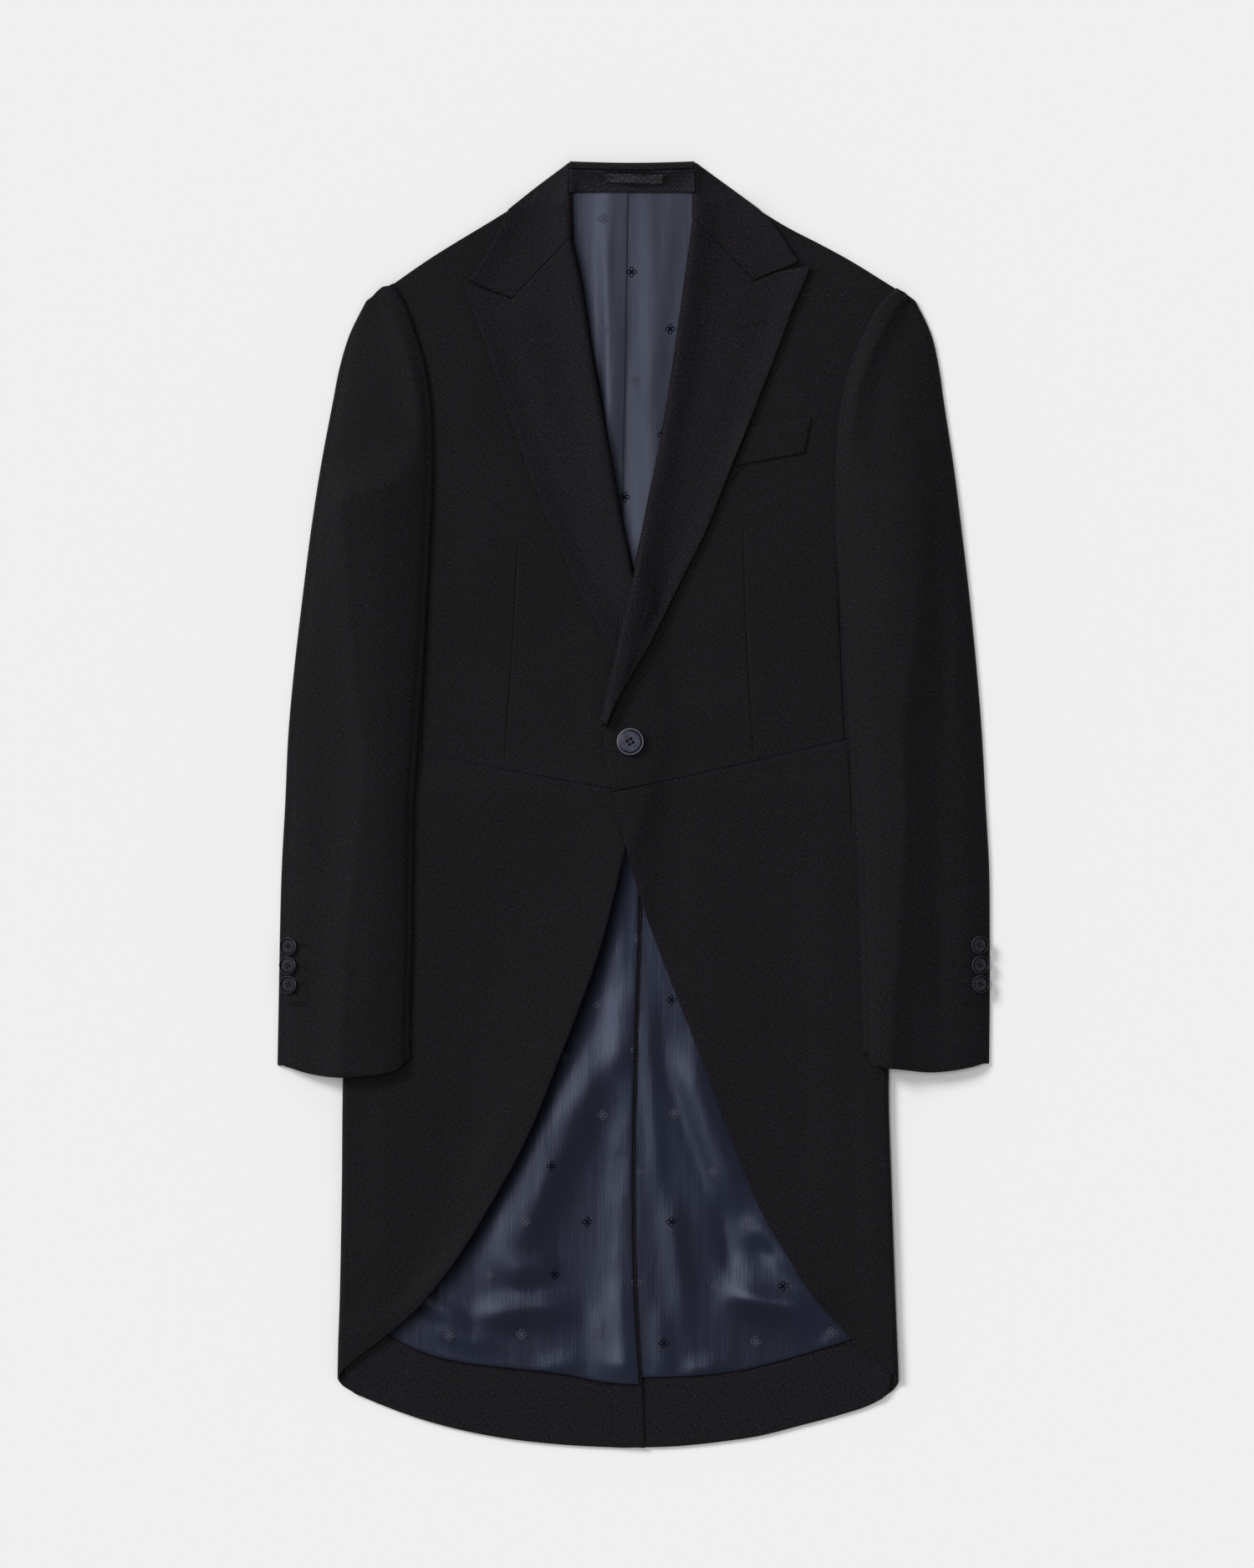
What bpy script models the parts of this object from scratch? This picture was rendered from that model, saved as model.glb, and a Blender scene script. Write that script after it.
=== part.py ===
"""A morning coat laid flat on its back, every piece of cloth a thin solid laid on those below it.

The wearer's right is at -X and the collar at +Y. Tables are in millimetres, as a cutter would
measure the coat on the table. Each cloth is a grid of points between four edges, its underside
settled on what lies below, and its upper side one wall thickness higher.
"""

import math
from collections import namedtuple

import bpy
import numpy as np
from mathutils import Vector

MM = 0.001

# Driving sizes of the cloths, in millimetres
BACK_CLOTH = 1.5
LINING_CLOTH = 1.0
FACING_CLOTH = 1.2
FRONT_CLOTH = 2.2
UNDERSLEEVE_CLOTH = 2.0
TOPSLEEVE_CLOTH = 2.2
WELT_CLOTH = 1.4
LAY_GAP = 0.3
SEAM_INSET = 0.18

# Turns of raising and of sinking that settle a cloth
RAISES = 24
DROPS = 12

# Heights above the table
LINING_BED = BACK_CLOTH + LAY_GAP
FRONT_BED = LINING_BED + LINING_CLOTH + LAY_GAP
SIDE_LIFT = 2.7
SIDE_LIFT_WIDTH = 55.0
SHOULDER_DROP = 1.3
SHOULDER_DROP_WIDTH = 12.0
ROLL_STAND = 1.6

# Soft folds
BASE_INSET = 14.0
FOLD_INSET = 4.0
LINING_INSET = BASE_INSET + 3.0
LINING_TURNING = 8.0
FOLD_STEPS = 5
BODY_ROWS = 7
SKIRT_ROWS = 12
ROLL_STEPS = 3
ROLL_LIFT = 3.0
ROLL_LIFT_WIDTH = 22.0
ROLL_BACK = 3.9
ROLL_CENTRE = 3.6
LEAST_ROLL = 1.2

# Sleeves
SLEEVE_RIM = 4.5
SLEEVE_PUFF = 3.6
HEM_PLAY = 0.35
CUFF_OVERHANG = 1.5

# Centre of the back
CENTRE_SEAM = -8.0
WAIST_LEVEL = 12.0
NECK_LEVEL = 513.0

# Collar behind the neck and the loop on its stand
COLLAR_ENDS = (-53.5, 51.5)
COLLAR_FOLD_LEVEL = 532.6
COLLAR_FOLD_HEIGHT = 4.4
COLLAR_BOW = 1.2
STAND_FOOT = 511.2
LOOP_LINE = [(-23.5, 524), (0, 522), (25.5, 517.5)]
LOOP_WIDTH = 5.0
LOOP_ARCH = 2.0

# Buttons
FRONT_BUTTON = dict(diameter=22.5, height=3.4, segments=24, holes=4)
CUFF_BUTTON = dict(diameter=15.0, height=2.8, segments=14, holes=0)
BUTTON_HOLE = 0.075
HOLE_SPACING = 0.145
HOLE_TURN = math.radians(52)
BUTTON_TILT = math.radians(20)

Point = namedtuple("Point", "x y")
Ridge = namedtuple("Ridge", "x0 y0 x1 y1 width height")
SleeveRow = namedtuple("SleeveRow", "y right_outer right_inner left_inner left_outer")

RIGHT, LEFT = "right", "left"
SIGN = {RIGHT: -1, LEFT: 1}

# Outlines of the pieces, one list of (x, y) for each edge and side
EDGES = {
    RIGHT: dict(
        shoulder=[(-104.5, 496.0), (-124, 484), (-146.5, 470.5), (-169, 456.5), (-200.5, 435)],
        armhole=[(-203, 433), (-195, 412), (-187, 388), (-180, 362), (-176, 335), (-172.5, 290)],
        side_seam=[(-172.5, 290), (-171, 220), (-173, 150), (-175.5, 95), (-177, 41)],
        underarm=[(-172.5, 290), (-186, 276), (-210, 260), (-238, 254)],
        fold=[(-242, 254), (-233.5, 140.5), (-223.5, 47)],
        skirt_fold=[(-223.5, 47), (-228, -27.5), (-236, -97.5), (-243, -230.5), (-244, -321.5),
                    (-245.5, -405.5), (-247.5, -475.5)],
        waist=[(12, 9), (-18.5, 12.5), (-100, 27), (-177, 41)],
        side_waist=[(-177, 41), (-219.5, 47)],
        roll=[(-51.5, 470.5), (-45, 441.5), (-35.5, 382), (-21.5, 302), (-13, 255), (-0.5, 188),
              (2.5, 172)],
        roll_end=[(2.5, 172), (14, 100), (20, 62)],
        front_edge=[(20, 62), (16.5, 39), (12, 9)],
        cutaway=[(12, 9), (-6, -38), (-16.5, -81), (-29.5, -128.5), (-45.5, -173), (-61.5, -214),
                 (-91.5, -286), (-118, -334), (-148, -382), (-181, -423), (-207.5, -446),
                 (-230.5, -463), (-239, -471)],
        lapel_edge=[(-143, 436.5), (-135.5, 416), (-120, 373), (-104.5, 326.5), (-86.5, 275),
                    (-61, 213), (-43, 172.5), (-25, 140.5), (-12, 118)],
        gorge=[(-51.5, 470.5), (-102, 421.5)],
        peak=[(-102, 421.5), (-124, 429.5), (-143, 436.5)],
        collar_end=[(-102, 422.5), (-123, 430.5), (-137.5, 437.5)],
        collar_edge=[(-137.5, 437.5), (-128.5, 450), (-110, 484.5), (-104.5, 496.5)],
        collar_top=[(-54, 535.5), (-79.5, 517), (-104.5, 496.5)],
        neck_roll=[(-51.5, 470.5), (-53.5, 511.5), (-54, 535.5)],
        hem=[(CENTRE_SEAM, -539.5), (-57, -537), (-107.5, -531.5), (-137.5, -526), (-179, -515),
             (-210.5, -503.5), (-233, -494)],
        lining_hem=[(5, -486), (-25.5, -484), (-58.5, -477.5), (-108, -472), (-141.5, -468),
                    (-174.5, -460), (-204.5, -446), (-222, -439)],
    ),
    LEFT: dict(
        shoulder=[(105.5, 496.0), (130.5, 481), (153, 469.5), (175.5, 457.5), (220, 431)],
        armhole=[(222, 429), (208, 407), (198, 388), (189, 364), (181, 335), (174.5, 290)],
        side_seam=[(174.5, 290), (171, 220), (172.5, 160), (174.5, 105.5), (177, 53)],
        underarm=[(174.5, 290), (186, 276), (210, 260), (238, 254)],
        fold=[(242, 254), (233.5, 140.5), (223.5, 63)],
        skirt_fold=[(223.5, 63), (225, -27.5), (221, -97.5), (213.5, -230.5), (216, -321.5),
                    (219, -405.5), (222, -478)],
        waist=[(-17, 9.5), (20, 17), (101, 35), (177, 53)],
        side_waist=[(177, 53), (219.5, 63)],
        roll=[(49.5, 487), (42, 433), (35.5, 386), (21.5, 298), (12, 253), (-0.5, 188),
              (-7.5, 158), (-15, 120.5), (-22, 79)],
        roll_end=[(-22, 79), (-25.5, 62)],
        front_edge=[(-25.5, 62), (-23.5, 39), (-17, 9.5)],
        cutaway=[(-17, 9.5), (-6, -38), (4.5, -76), (26, -135.5), (56.5, -213), (87, -293.5),
                 (107, -342), (127, -375.5), (145, -405), (163.5, -428), (184, -449.5),
                 (202, -464.5), (214, -474)],
        lapel_edge=[(149, 449.5), (135.5, 417.5), (120, 376), (102, 330), (80, 275), (60, 225),
                    (38.5, 182.5), (15.5, 136), (0, 109.5), (-14.5, 84)],
        gorge=[(49.5, 487), (101.5, 436.5)],
        peak=[(101.5, 436.5), (124, 445), (149, 449.5)],
        collar_end=[(101.5, 437.5), (120.5, 445), (138.5, 452.5)],
        collar_edge=[(138.5, 452.5), (129, 467), (118.5, 482.5), (105.5, 496.5)],
        collar_top=[(52.5, 535.5), (80, 516), (105.5, 496.5)],
        neck_roll=[(49.5, 487), (51, 511.5), (52.5, 535.5)],
        hem=[(CENTRE_SEAM, -539.5), (38, -538), (72, -534.5), (105.5, -529.5), (139, -521),
             (172.5, -512), (198, -503.5), (208.5, -498)],
        lining_hem=[(CENTRE_SEAM, -481), (57.5, -478.5), (90.5, -474.5), (123.5, -466.5),
                    (157, -456.5), (181.5, -448.5), (198, -440)],
    ),
}

VENT_EDGE = [(7.5, -20), (7.5, -90.5), (4, -202.5), (2, -335.5), (4, -419.5), (8, -489.5),
             (9.5, -539.5)]
LINING_PLEAT = [(-4, 514), (-6.5, 371.5), (-9, 224.5), (-7.5, WAIST_LEVEL)]

SLEEVE_ROWS = [
    SleeveRow(420.5, -223.5, -191.5, 208.0, 236.0),
    SleeveRow(392.5, -237.5, -181.0, 191.5, 249.5),
    SleeveRow(364.5, -246.0, -173.0, 180.0, 256.0),
    SleeveRow(336.5, -251.5, -169.0, 173.0, 260.0),
    SleeveRow(280.5, -262.0, -167.0, 168.0, 268.5),
    SleeveRow(224.5, -270.5, -169.0, 168.5, 275.5),
    SleeveRow(168.5, -277.5, -172.0, 172.0, 282.0),
    SleeveRow(112.5, -284.0, -175.0, 175.5, 287.5),
    SleeveRow(56.5, -289.0, -179.0, 179.0, 292.0),
    SleeveRow(0.5, -291.5, -182.5, 184.0, 295.0),
    SleeveRow(-55.5, -294.5, -183.5, 186.5, 298.0),
    SleeveRow(-111.5, -296.0, -184.0, 188.5, 298.5),
    SleeveRow(-167.5, -297.0, -185.5, 190.0, 298.5),
]
SLEEVE_HEAD = {RIGHT: [(-200.5, 435), (-207.5, 434), (-223.5, 420.5)],
               LEFT: [(220, 431), (226, 428), (236, 420.5)]}
CUFF = {RIGHT: [(-186, -213), (-189.5, -219), (-199, -223.5), (-220, -227), (-242, -228.5),
                (-256, -228), (-272.5, -225.5), (-298, -218)],
        LEFT: [(191, -207.5), (193.5, -214.5), (205, -219.5), (223, -222), (250, -224.5),
               (264, -223.5), (287.5, -219.5), (298, -216.5)]}
CUFF_BUTTONS = {RIGHT: [(-288, -119.5), (-288.5, -135.5), (-288, -151.5)],
                LEFT: [(289, -118.5), (289.5, -135), (290, -151)]}
FRONT_BUTTON_PLACE = Point(-2.5, 51.5)

WELT = dict(top=[(97, 314), (149, 322.5)], bottom=[(83.5, 282), (143, 293)],
            inner=[(97, 314), (83.5, 282)], outer=[(149, 322.5), (143, 293)])

# Broad folds of the satin in the tails
TAIL_RIDGES = [
    Ridge(-47, -190, -140, -405, 22, 2.6),
    Ridge(-30, -300, -60, -440, 16, 1.8),
    Ridge(-185, -405, -60, -455, 12, 2.2),
    Ridge(30, -155, 80, -365, 18, 2.8),
    Ridge(75, -335, 135, -405, 16, 2.4),
    Ridge(60, -395, 105, -440, 12, 2.6),
    Ridge(20, -260, 30, -420, 14, 1.6),
]


def smooth(value):
    """Eases from 0 to 1 as value goes from 0 to 1."""
    t = np.clip(value, 0.0, 1.0)
    return t * t * (3 - 2 * t)


def run(points, steps):
    """Points at even spacing along a smooth line through the given ones."""
    p = np.array(points, float)
    if len(p) == 2:
        return p[0] + (p[1] - p[0]) * np.linspace(0, 1, steps + 1)[:, None]
    chord = np.concatenate([[0], np.cumsum(np.linalg.norm(np.diff(p, axis=0), axis=1))])
    slope = np.gradient(p, chord, axis=0)
    dense = []
    for k in range(len(p) - 1):
        h = chord[k + 1] - chord[k]
        t = np.linspace(0, 1, 17)[:, None]
        dense.append((2 * t**3 - 3 * t**2 + 1) * p[k] + (t**3 - 2 * t**2 + t) * h * slope[k]
                     + (3 * t**2 - 2 * t**3) * p[k + 1] + (t**3 - t**2) * h * slope[k + 1])
    dense = np.concatenate(dense)
    way = np.concatenate([[0], np.cumsum(np.linalg.norm(np.diff(dense, axis=0), axis=1))])
    at = np.linspace(0, way[-1], steps + 1)
    return np.column_stack([np.interp(at, way, dense[:, 0]), np.interp(at, way, dense[:, 1])])


def joined(*runs):
    """Runs end to end as one line, without the repeated corner points."""
    return np.concatenate([runs[0]] + [r[1:] for r in runs[1:]])


def patch(inner, outer, top, bottom):
    """A grid of points between four edges, rows from top to bottom, columns from inner to outer."""
    rows, cols = len(inner) - 1, len(top) - 1
    v = np.linspace(0, 1, rows + 1)[:, None, None]
    u = np.linspace(0, 1, cols + 1)[None, :, None]
    across = (1 - u) * inner[:, None] + u * outer[:, None]
    down = (1 - v) * top[None] + v * bottom[None]
    corners = ((1 - v) * ((1 - u) * inner[0] + u * outer[0])
               + v * ((1 - u) * inner[-1] + u * outer[-1]))
    return across + down - corners


def inset(grid, by=SEAM_INSET, sides="tbio"):
    """Moves the grid's border points inwards, which parts neighbours at a seam."""
    out = grid.copy()
    moves = {"t": (np.s_[0], np.s_[1]), "b": (np.s_[-1], np.s_[-2]),
             "i": (np.s_[:, 0], np.s_[:, 1]), "o": (np.s_[:, -1], np.s_[:, -2])}
    for side in sides:
        edge, within = moves[side]
        way = grid[within] - grid[edge]
        out[edge] += by * way / np.maximum(np.linalg.norm(way, axis=-1, keepdims=True), 1e-6)
    return out


def grid_triangles(rows, cols):
    """Triangles of a grid of rows by cols cells, as index triples."""
    wide = cols + 1
    tris = []
    for i in range(rows):
        for j in range(cols):
            a = i * wide + j
            tris.append((a, a + wide, a + wide + 1))
            tris.append((a, a + wide + 1, a + 1))
    return np.array(tris)


class HeightMap:
    """The highest cloth laid so far, over a square grid of the table."""

    def __init__(self, step=1.5):
        self.step = step
        self.low = np.array([-306.0, -548.0])
        self.z = np.zeros((int(1096 / step), int(612 / step)))

    def cells(self, xy, tris):
        """Cells under each triangle: flat cell index, the triangle and its corner weights."""
        index, owner, weights = [], [], []
        for n, tri in enumerate(tris):
            a, b, c = xy[tri]
            low = np.floor((np.minimum(np.minimum(a, b), c) - self.low) / self.step).astype(int)
            high = np.ceil((np.maximum(np.maximum(a, b), c) - self.low) / self.step).astype(int)
            gx, gy = np.meshgrid(np.arange(low[0], high[0] + 1), np.arange(low[1], high[1] + 1))
            gx, gy = gx.ravel(), gy.ravel()
            px = self.low[0] + gx * self.step
            py = self.low[1] + gy * self.step
            area = (b[0] - a[0]) * (c[1] - a[1]) - (c[0] - a[0]) * (b[1] - a[1])
            if abs(area) < 1e-9:
                continue
            wb = ((px - a[0]) * (c[1] - a[1]) - (c[0] - a[0]) * (py - a[1])) / area
            wc = ((b[0] - a[0]) * (py - a[1]) - (px - a[0]) * (b[1] - a[1])) / area
            wa = 1 - wb - wc
            ok = (wa > -1e-6) & (wb > -1e-6) & (wc > -1e-6)
            index.append((gy * self.z.shape[1] + gx)[ok])
            owner.append(np.full(int(ok.sum()), n))
            weights.append(np.column_stack([wa, wb, wc])[ok])
        return np.concatenate(index), np.concatenate(owner), np.concatenate(weights)

    def add(self, points, tris):
        """Lays a solid's faces on the map."""
        index, owner, weights = self.cells(points[:, :2], tris)
        z = (points[tris[owner], 2] * weights).sum(axis=1)
        np.maximum.at(self.z.reshape(-1), index, z)

    def widened(self, reach):
        """The map with each height spread to its neighbours within reach millimetres."""
        z = self.z
        for _ in range(max(1, round(reach / self.step))):
            p = np.pad(z, 1, mode="edge")
            z = np.maximum.reduce([p[i:i + z.shape[0], j:j + z.shape[1]]
                                   for i in range(3) for j in range(3)])
        return z

    def top(self, x, y, radius):
        """The highest cloth within radius of a place."""
        i0, i1 = ((np.array([y - radius, y + radius]) - self.low[1]) / self.step).round().astype(int)
        j0, j1 = ((np.array([x - radius, x + radius]) - self.low[0]) / self.step).round().astype(int)
        return float(self.z[i0:i1 + 1, j0:j1 + 1].max())


def settle(grids, table, reach=2.0, gap=LAY_GAP):
    """Raises the undersides of grids that are sewn together until they clear all that is below."""
    below = table.widened(reach).reshape(-1)
    below = np.where(below > 0.01, below + gap, 0.0)
    points = np.concatenate([g.reshape(-1, 3) for g in grids])
    start, tris = 0, []
    for g in grids:
        tris.append(grid_triangles(g.shape[0] - 1, g.shape[1] - 1) + start)
        start += g.shape[0] * g.shape[1]
    tris = np.concatenate(tris)
    keys = {}
    shared = np.array([keys.setdefault(tuple(np.round(p[:2], 1)), n) for n, p in enumerate(points)])
    index, owner, weights = table.cells(points[:, :2], tris)
    corner = tris[owner]
    target = points[:, 2].copy()
    z = target.copy()
    for turn in range(RAISES):
        lack = np.maximum(below[index] - (z[corner] * weights).sum(axis=1), 0)
        rise = np.zeros(len(z))
        if turn < RAISES - 1:
            push = lack[:, None] * weights / (weights**2).sum(axis=1, keepdims=True)
            np.maximum.at(rise, corner, 0.5 * push)
        else:
            np.maximum.at(rise, corner, np.repeat(lack[:, None], 3, axis=1))
        np.maximum.at(rise, shared, rise.copy())
        z += rise[shared]
    for _ in range(DROPS):
        spare = np.full(len(z), 1e3)
        room = (z[corner] * weights).sum(axis=1) - below[index]
        np.minimum.at(spare, corner, np.where(weights > 1e-6, room[:, None], 1e3))
        np.minimum.at(spare, shared, spare.copy())
        z = np.maximum(z - np.maximum(spare[shared], 0), target)
    np.maximum.at(target, shared, z)
    z = np.maximum(target[shared], z)
    start = 0
    for g in grids:
        size = g.shape[0] * g.shape[1]
        g[..., 2] = z[start:start + size].reshape(g.shape[:2])
        start += size


def material(name, colour, roughness, metallic=0.0):
    """A plain finish for one kind of cloth or button."""
    finish = bpy.data.materials.new(name)
    finish.use_nodes = True
    shader = finish.node_tree.nodes["Principled BSDF"]
    shader.inputs["Base Color"].default_value = (*colour, 1)
    shader.inputs["Roughness"].default_value = roughness
    shader.inputs["Metallic"].default_value = metallic
    return finish


class Coat:
    """Lays the coat's pieces one on another and keeps the map of what lies where."""

    def __init__(self):
        self.table = HeightMap()
        self.pieces = bpy.data.collections.new("morning_coat")
        self.cutters = bpy.data.collections.new("cutters")
        for collection in (self.pieces, self.cutters):
            bpy.context.scene.collection.children.link(collection)
        self.wool = material("black wool", (0.012, 0.012, 0.014), 0.9)
        self.satin = material("navy satin", (0.02, 0.035, 0.11), 0.35)
        self.horn = material("navy button", (0.015, 0.022, 0.055), 0.3)

    def cloth(self, name, under, offset, finish):
        """Makes a closed wall from a grid of points and the way to its other face, and lays it."""
        rows, cols = under.shape[0] - 1, under.shape[1] - 1
        over = under + offset
        points = np.concatenate([under.reshape(-1, 3), over.reshape(-1, 3)])
        tris = grid_triangles(rows, cols)
        half = (rows + 1) * (cols + 1)
        border = ([(0, j) for j in range(cols)] + [(i, cols) for i in range(rows)]
                  + [(rows, j) for j in range(cols, 0, -1)] + [(i, 0) for i in range(rows, 0, -1)])
        ring = [i * (cols + 1) + j for i, j in border]
        walls = []
        for a, b in zip(ring, ring[1:] + ring[:1]):
            walls.append((a, b, b + half))
            walls.append((a, b + half, a + half))
        faces = np.concatenate([tris, tris[:, ::-1] + half, np.array(walls)])
        mesh = bpy.data.meshes.new(name)
        corner = points[faces]
        volume = np.einsum("ij,ij->i", corner[:, 0], np.cross(corner[:, 1], corner[:, 2])).sum()
        if volume < 0:
            faces = faces[:, ::-1]
        mesh.from_pydata((points * MM).tolist(), [], faces.tolist())
        mesh.shade_smooth()
        mesh.set_sharp_from_angle(angle=math.radians(40))
        mesh.materials.append(finish)
        self.pieces.objects.link(bpy.data.objects.new(name, mesh))
        self.table.add(points, faces)

    def slab(self, name, under, wall, finish):
        """A cloth whose faces lie straight above each other."""
        offset = np.zeros_like(under)
        offset[..., 2] = wall
        self.cloth(name, under, offset, finish)


def level(grid, z):
    """Gives a flat grid its heights."""
    return np.dstack([grid, np.broadcast_to(z, grid.shape[:2])])


def edge_run(side, name, steps):
    """One named edge of a side, as a run of even steps."""
    return run(EDGES[side][name], steps)


def distance_to(grid, line):
    """Distance of each grid point to a line of points."""
    best = np.full(grid.shape[:2], 1e9)
    for a, b in zip(line[:-1], line[1:]):
        along = b - a
        t = np.clip(((grid[..., :2] - a) @ along) / (along @ along), 0, 1)
        near = a + t[..., None] * along
        best = np.minimum(best, np.linalg.norm(grid[..., :2] - near, axis=-1))
    return best


def fold_at(side, y):
    """X of the side fold at a height on the coat."""
    points = np.array(EDGES[side]["fold"] + EDGES[side]["skirt_fold"][1:])[::-1]
    return np.interp(y, points[:, 1], points[:, 0])


def front_bed(side, grid):
    """Underside of a front before it settles: up at the side fold, down at the shoulder seam."""
    x, y = grid[..., 0], grid[..., 1]
    from_fold = np.abs(fold_at(side, y) - x)
    beside = (1 - smooth((from_fold - 4) / SIDE_LIFT_WIDTH)) * smooth((330 - y) / 68)
    shoulder = distance_to(grid, run(EDGES[side]["shoulder"], 8))
    drop = SHOULDER_DROP * (1 - smooth(shoulder / SHOULDER_DROP_WIDTH))
    roll = distance_to(grid, edge_run(side, "roll", 12))
    rolled = ROLL_STAND * (1 - smooth(roll / ROLL_LIFT_WIDTH))
    return FRONT_BED + SIDE_LIFT * beside - drop + rolled


def base_line(side, name, steps):
    """The line where the cloth that comes round the side meets the back, on the underside."""
    line = edge_run(side, name, steps)
    line[:, 0] -= SIGN[side] * BASE_INSET
    return line


def lay_backs(coat):
    """The two halves of the back, with their long tails, flat on the table."""
    for side in (RIGHT, LEFT):
        edges = EDGES[side]
        base = joined(base_line(side, "fold", BODY_ROWS), base_line(side, "skirt_fold", SKIRT_ROWS))
        base[-1] = edges["hem"][-1]
        armhole = [(x, y) for x, y in edges["armhole"][:-1]]
        armhole += [(SIGN[side] * 184, 296), (SIGN[side] * 205, 268), tuple(base[0])]
        outer = joined(run(armhole, 5), base)
        neck = (SIGN[side] * 52, NECK_LEVEL)
        top = joined(run([(CENTRE_SEAM, NECK_LEVEL), neck], 1), run([neck, edges["shoulder"][0]], 1),
                     run(edges["shoulder"][:-1] + [armhole[0]], 3))
        inner = run([(CENTRE_SEAM, NECK_LEVEL), edges["hem"][0]], len(outer) - 1)
        grid = patch(inner, outer, top, edge_run(side, "hem", 5))
        coat.slab(f"back_{side}", level(inset(grid), 0.0), BACK_CLOTH, coat.wool)


def tail_relief(grid):
    """Height of the satin's broad folds over the tails."""
    relief = np.zeros(grid.shape[:2])
    for r in TAIL_RIDGES:
        a, b = np.array([r.x0, r.y0]), np.array([r.x1, r.y1])
        t = np.clip(((grid - a) @ (b - a)) / ((b - a) @ (b - a)), 0, 1)
        away = np.linalg.norm(grid - (a + t[..., None] * (b - a)), axis=-1)
        relief = np.maximum(relief, r.height * np.exp(-(away / r.width) ** 2))
    border = np.ones_like(relief)
    border[[0, -1]] = 0
    border[:, [0, -1]] = 0
    return relief * border


def lay_linings(coat):
    """Back linings with their centre pleat, tail linings, hem facings and the vent's lapped edge."""
    for side in (LEFT, RIGHT):
        s = SIGN[side]
        edges = EDGES[side]
        armhole = [(x - LINING_TURNING * s, y - LINING_TURNING) for x, y in edges["armhole"]]
        folds = [(x - s * LINING_INSET, y) for x, y in edges["fold"] + edges["skirt_fold"][1:-1]]
        sides = [p for p in folds if p[1] > WAIST_LEVEL]
        waist_corner = (fold_at(side, WAIST_LEVEL) - s * LINING_INSET, WAIST_LEVEL)
        outer = joined(run(armhole, 4), run([armhole[-1], sides[0]], 1),
                       run(sides + [waist_corner], 4))
        pleat = run(LINING_PLEAT, 9) if side == RIGHT else run([(-18, 514), (-18, WAIST_LEVEL)], 9)
        neck = [tuple(pleat[0]), (s * 49, 513), (s * 100, 489), armhole[0]]
        top = joined(run(neck[:2], 2), run(neck[1:3], 2), run(neck[2:], 3))
        waist = run([tuple(pleat[-1]), waist_corner], 7)
        grid = level(inset(patch(pleat, outer, top, waist)), LINING_BED)
        settle([grid], coat.table)
        coat.slab(f"back_lining_{side}", grid, LINING_CLOTH, coat.satin)

        hem = edge_run(side, "lining_hem", 8)
        facing_hem = hem.copy()
        facing_hem[0, 0] = CENTRE_SEAM
        facing_outer = run([tuple(hem[-1]), edges["hem"][-1]], 2)
        facing_inner = run([tuple(facing_hem[0]), edges["hem"][0]], 2)
        facing = patch(facing_inner, facing_outer, facing_hem, edge_run(side, "hem", 8))
        coat.slab(f"hem_facing_{side}", level(inset(facing), LINING_BED), FACING_CLOTH, coat.wool)

        if side == RIGHT:
            lap_edge = run(VENT_EDGE, 12)
            lap_inner = run([(-16, -20), (-16, -538)], 12)
            lap = patch(lap_inner, lap_edge, run([lap_inner[0], lap_edge[0]], 2),
                        run([lap_inner[-1], lap_edge[-1]], 2))
            lap = level(inset(lap), LINING_BED)
            settle([lap], coat.table)
            coat.slab("vent_edge", lap, FACING_CLOTH, coat.wool)
        drop = [(x - s * LINING_INSET, y) for x, y in edges["skirt_fold"]
                if hem[-1][1] + 20 < y < WAIST_LEVEL]
        tail_outer = run([waist_corner] + drop + [tuple(hem[-1])], 12)
        if side == RIGHT:
            vent = [(x - 3, y) for x, y in VENT_EDGE if hem[0][1] < y]
            tail_inner = run([tuple(pleat[-1])] + vent + [tuple(hem[0])], 12)
        else:
            tail_inner = run([tuple(pleat[-1]), (CENTRE_SEAM, -60), tuple(hem[0])], 12)
        tail_top = run([tuple(pleat[-1]), waist_corner], 8)
        flat = inset(patch(tail_inner, tail_outer, tail_top, hem))
        grid = level(flat, LINING_BED + tail_relief(flat))
        settle([grid], coat.table, reach=1.5)
        coat.slab(f"tail_lining_{side}", grid, LINING_CLOTH, coat.satin)


def side_fold(side, top_grid, fold, base):
    """Carries a front's outer column round the side fold and a little way under, to the back.

    Returns the inner points and their offsets, the front's own columns among them.
    """
    s = SIGN[side]
    low = FRONT_CLOTH
    z_top = top_grid[:, -1, 2]
    radius = (z_top - low) / 2
    centre = np.column_stack([top_grid[:, -1, :2], (z_top + low) / 2])
    grids, offsets = [], []
    for j in range(top_grid.shape[1]):
        grids.append(top_grid[:, j])
        offsets.append(np.tile([0, 0, FRONT_CLOTH], (len(top_grid), 1)))
    for k in range(1, FOLD_STEPS + 1):
        angle = math.pi / 2 - math.pi * k / FOLD_STEPS
        way = np.array([s * math.cos(angle), 0, math.sin(angle)])
        point = centre + radius[:, None] * way
        share = k / (FOLD_STEPS + 1)
        point[:, 1] += share * (base[:, 1] - fold[:, 1])
        grids.append(point)
        offsets.append(np.tile(way * FRONT_CLOTH, (len(top_grid), 1)))
    grids.append(np.column_stack([base, np.full(len(base), low)]))
    offsets.append(np.tile([0, 0, -FRONT_CLOTH], (len(top_grid), 1)))
    return np.stack(grids, axis=1), np.stack(offsets, axis=1)


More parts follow.
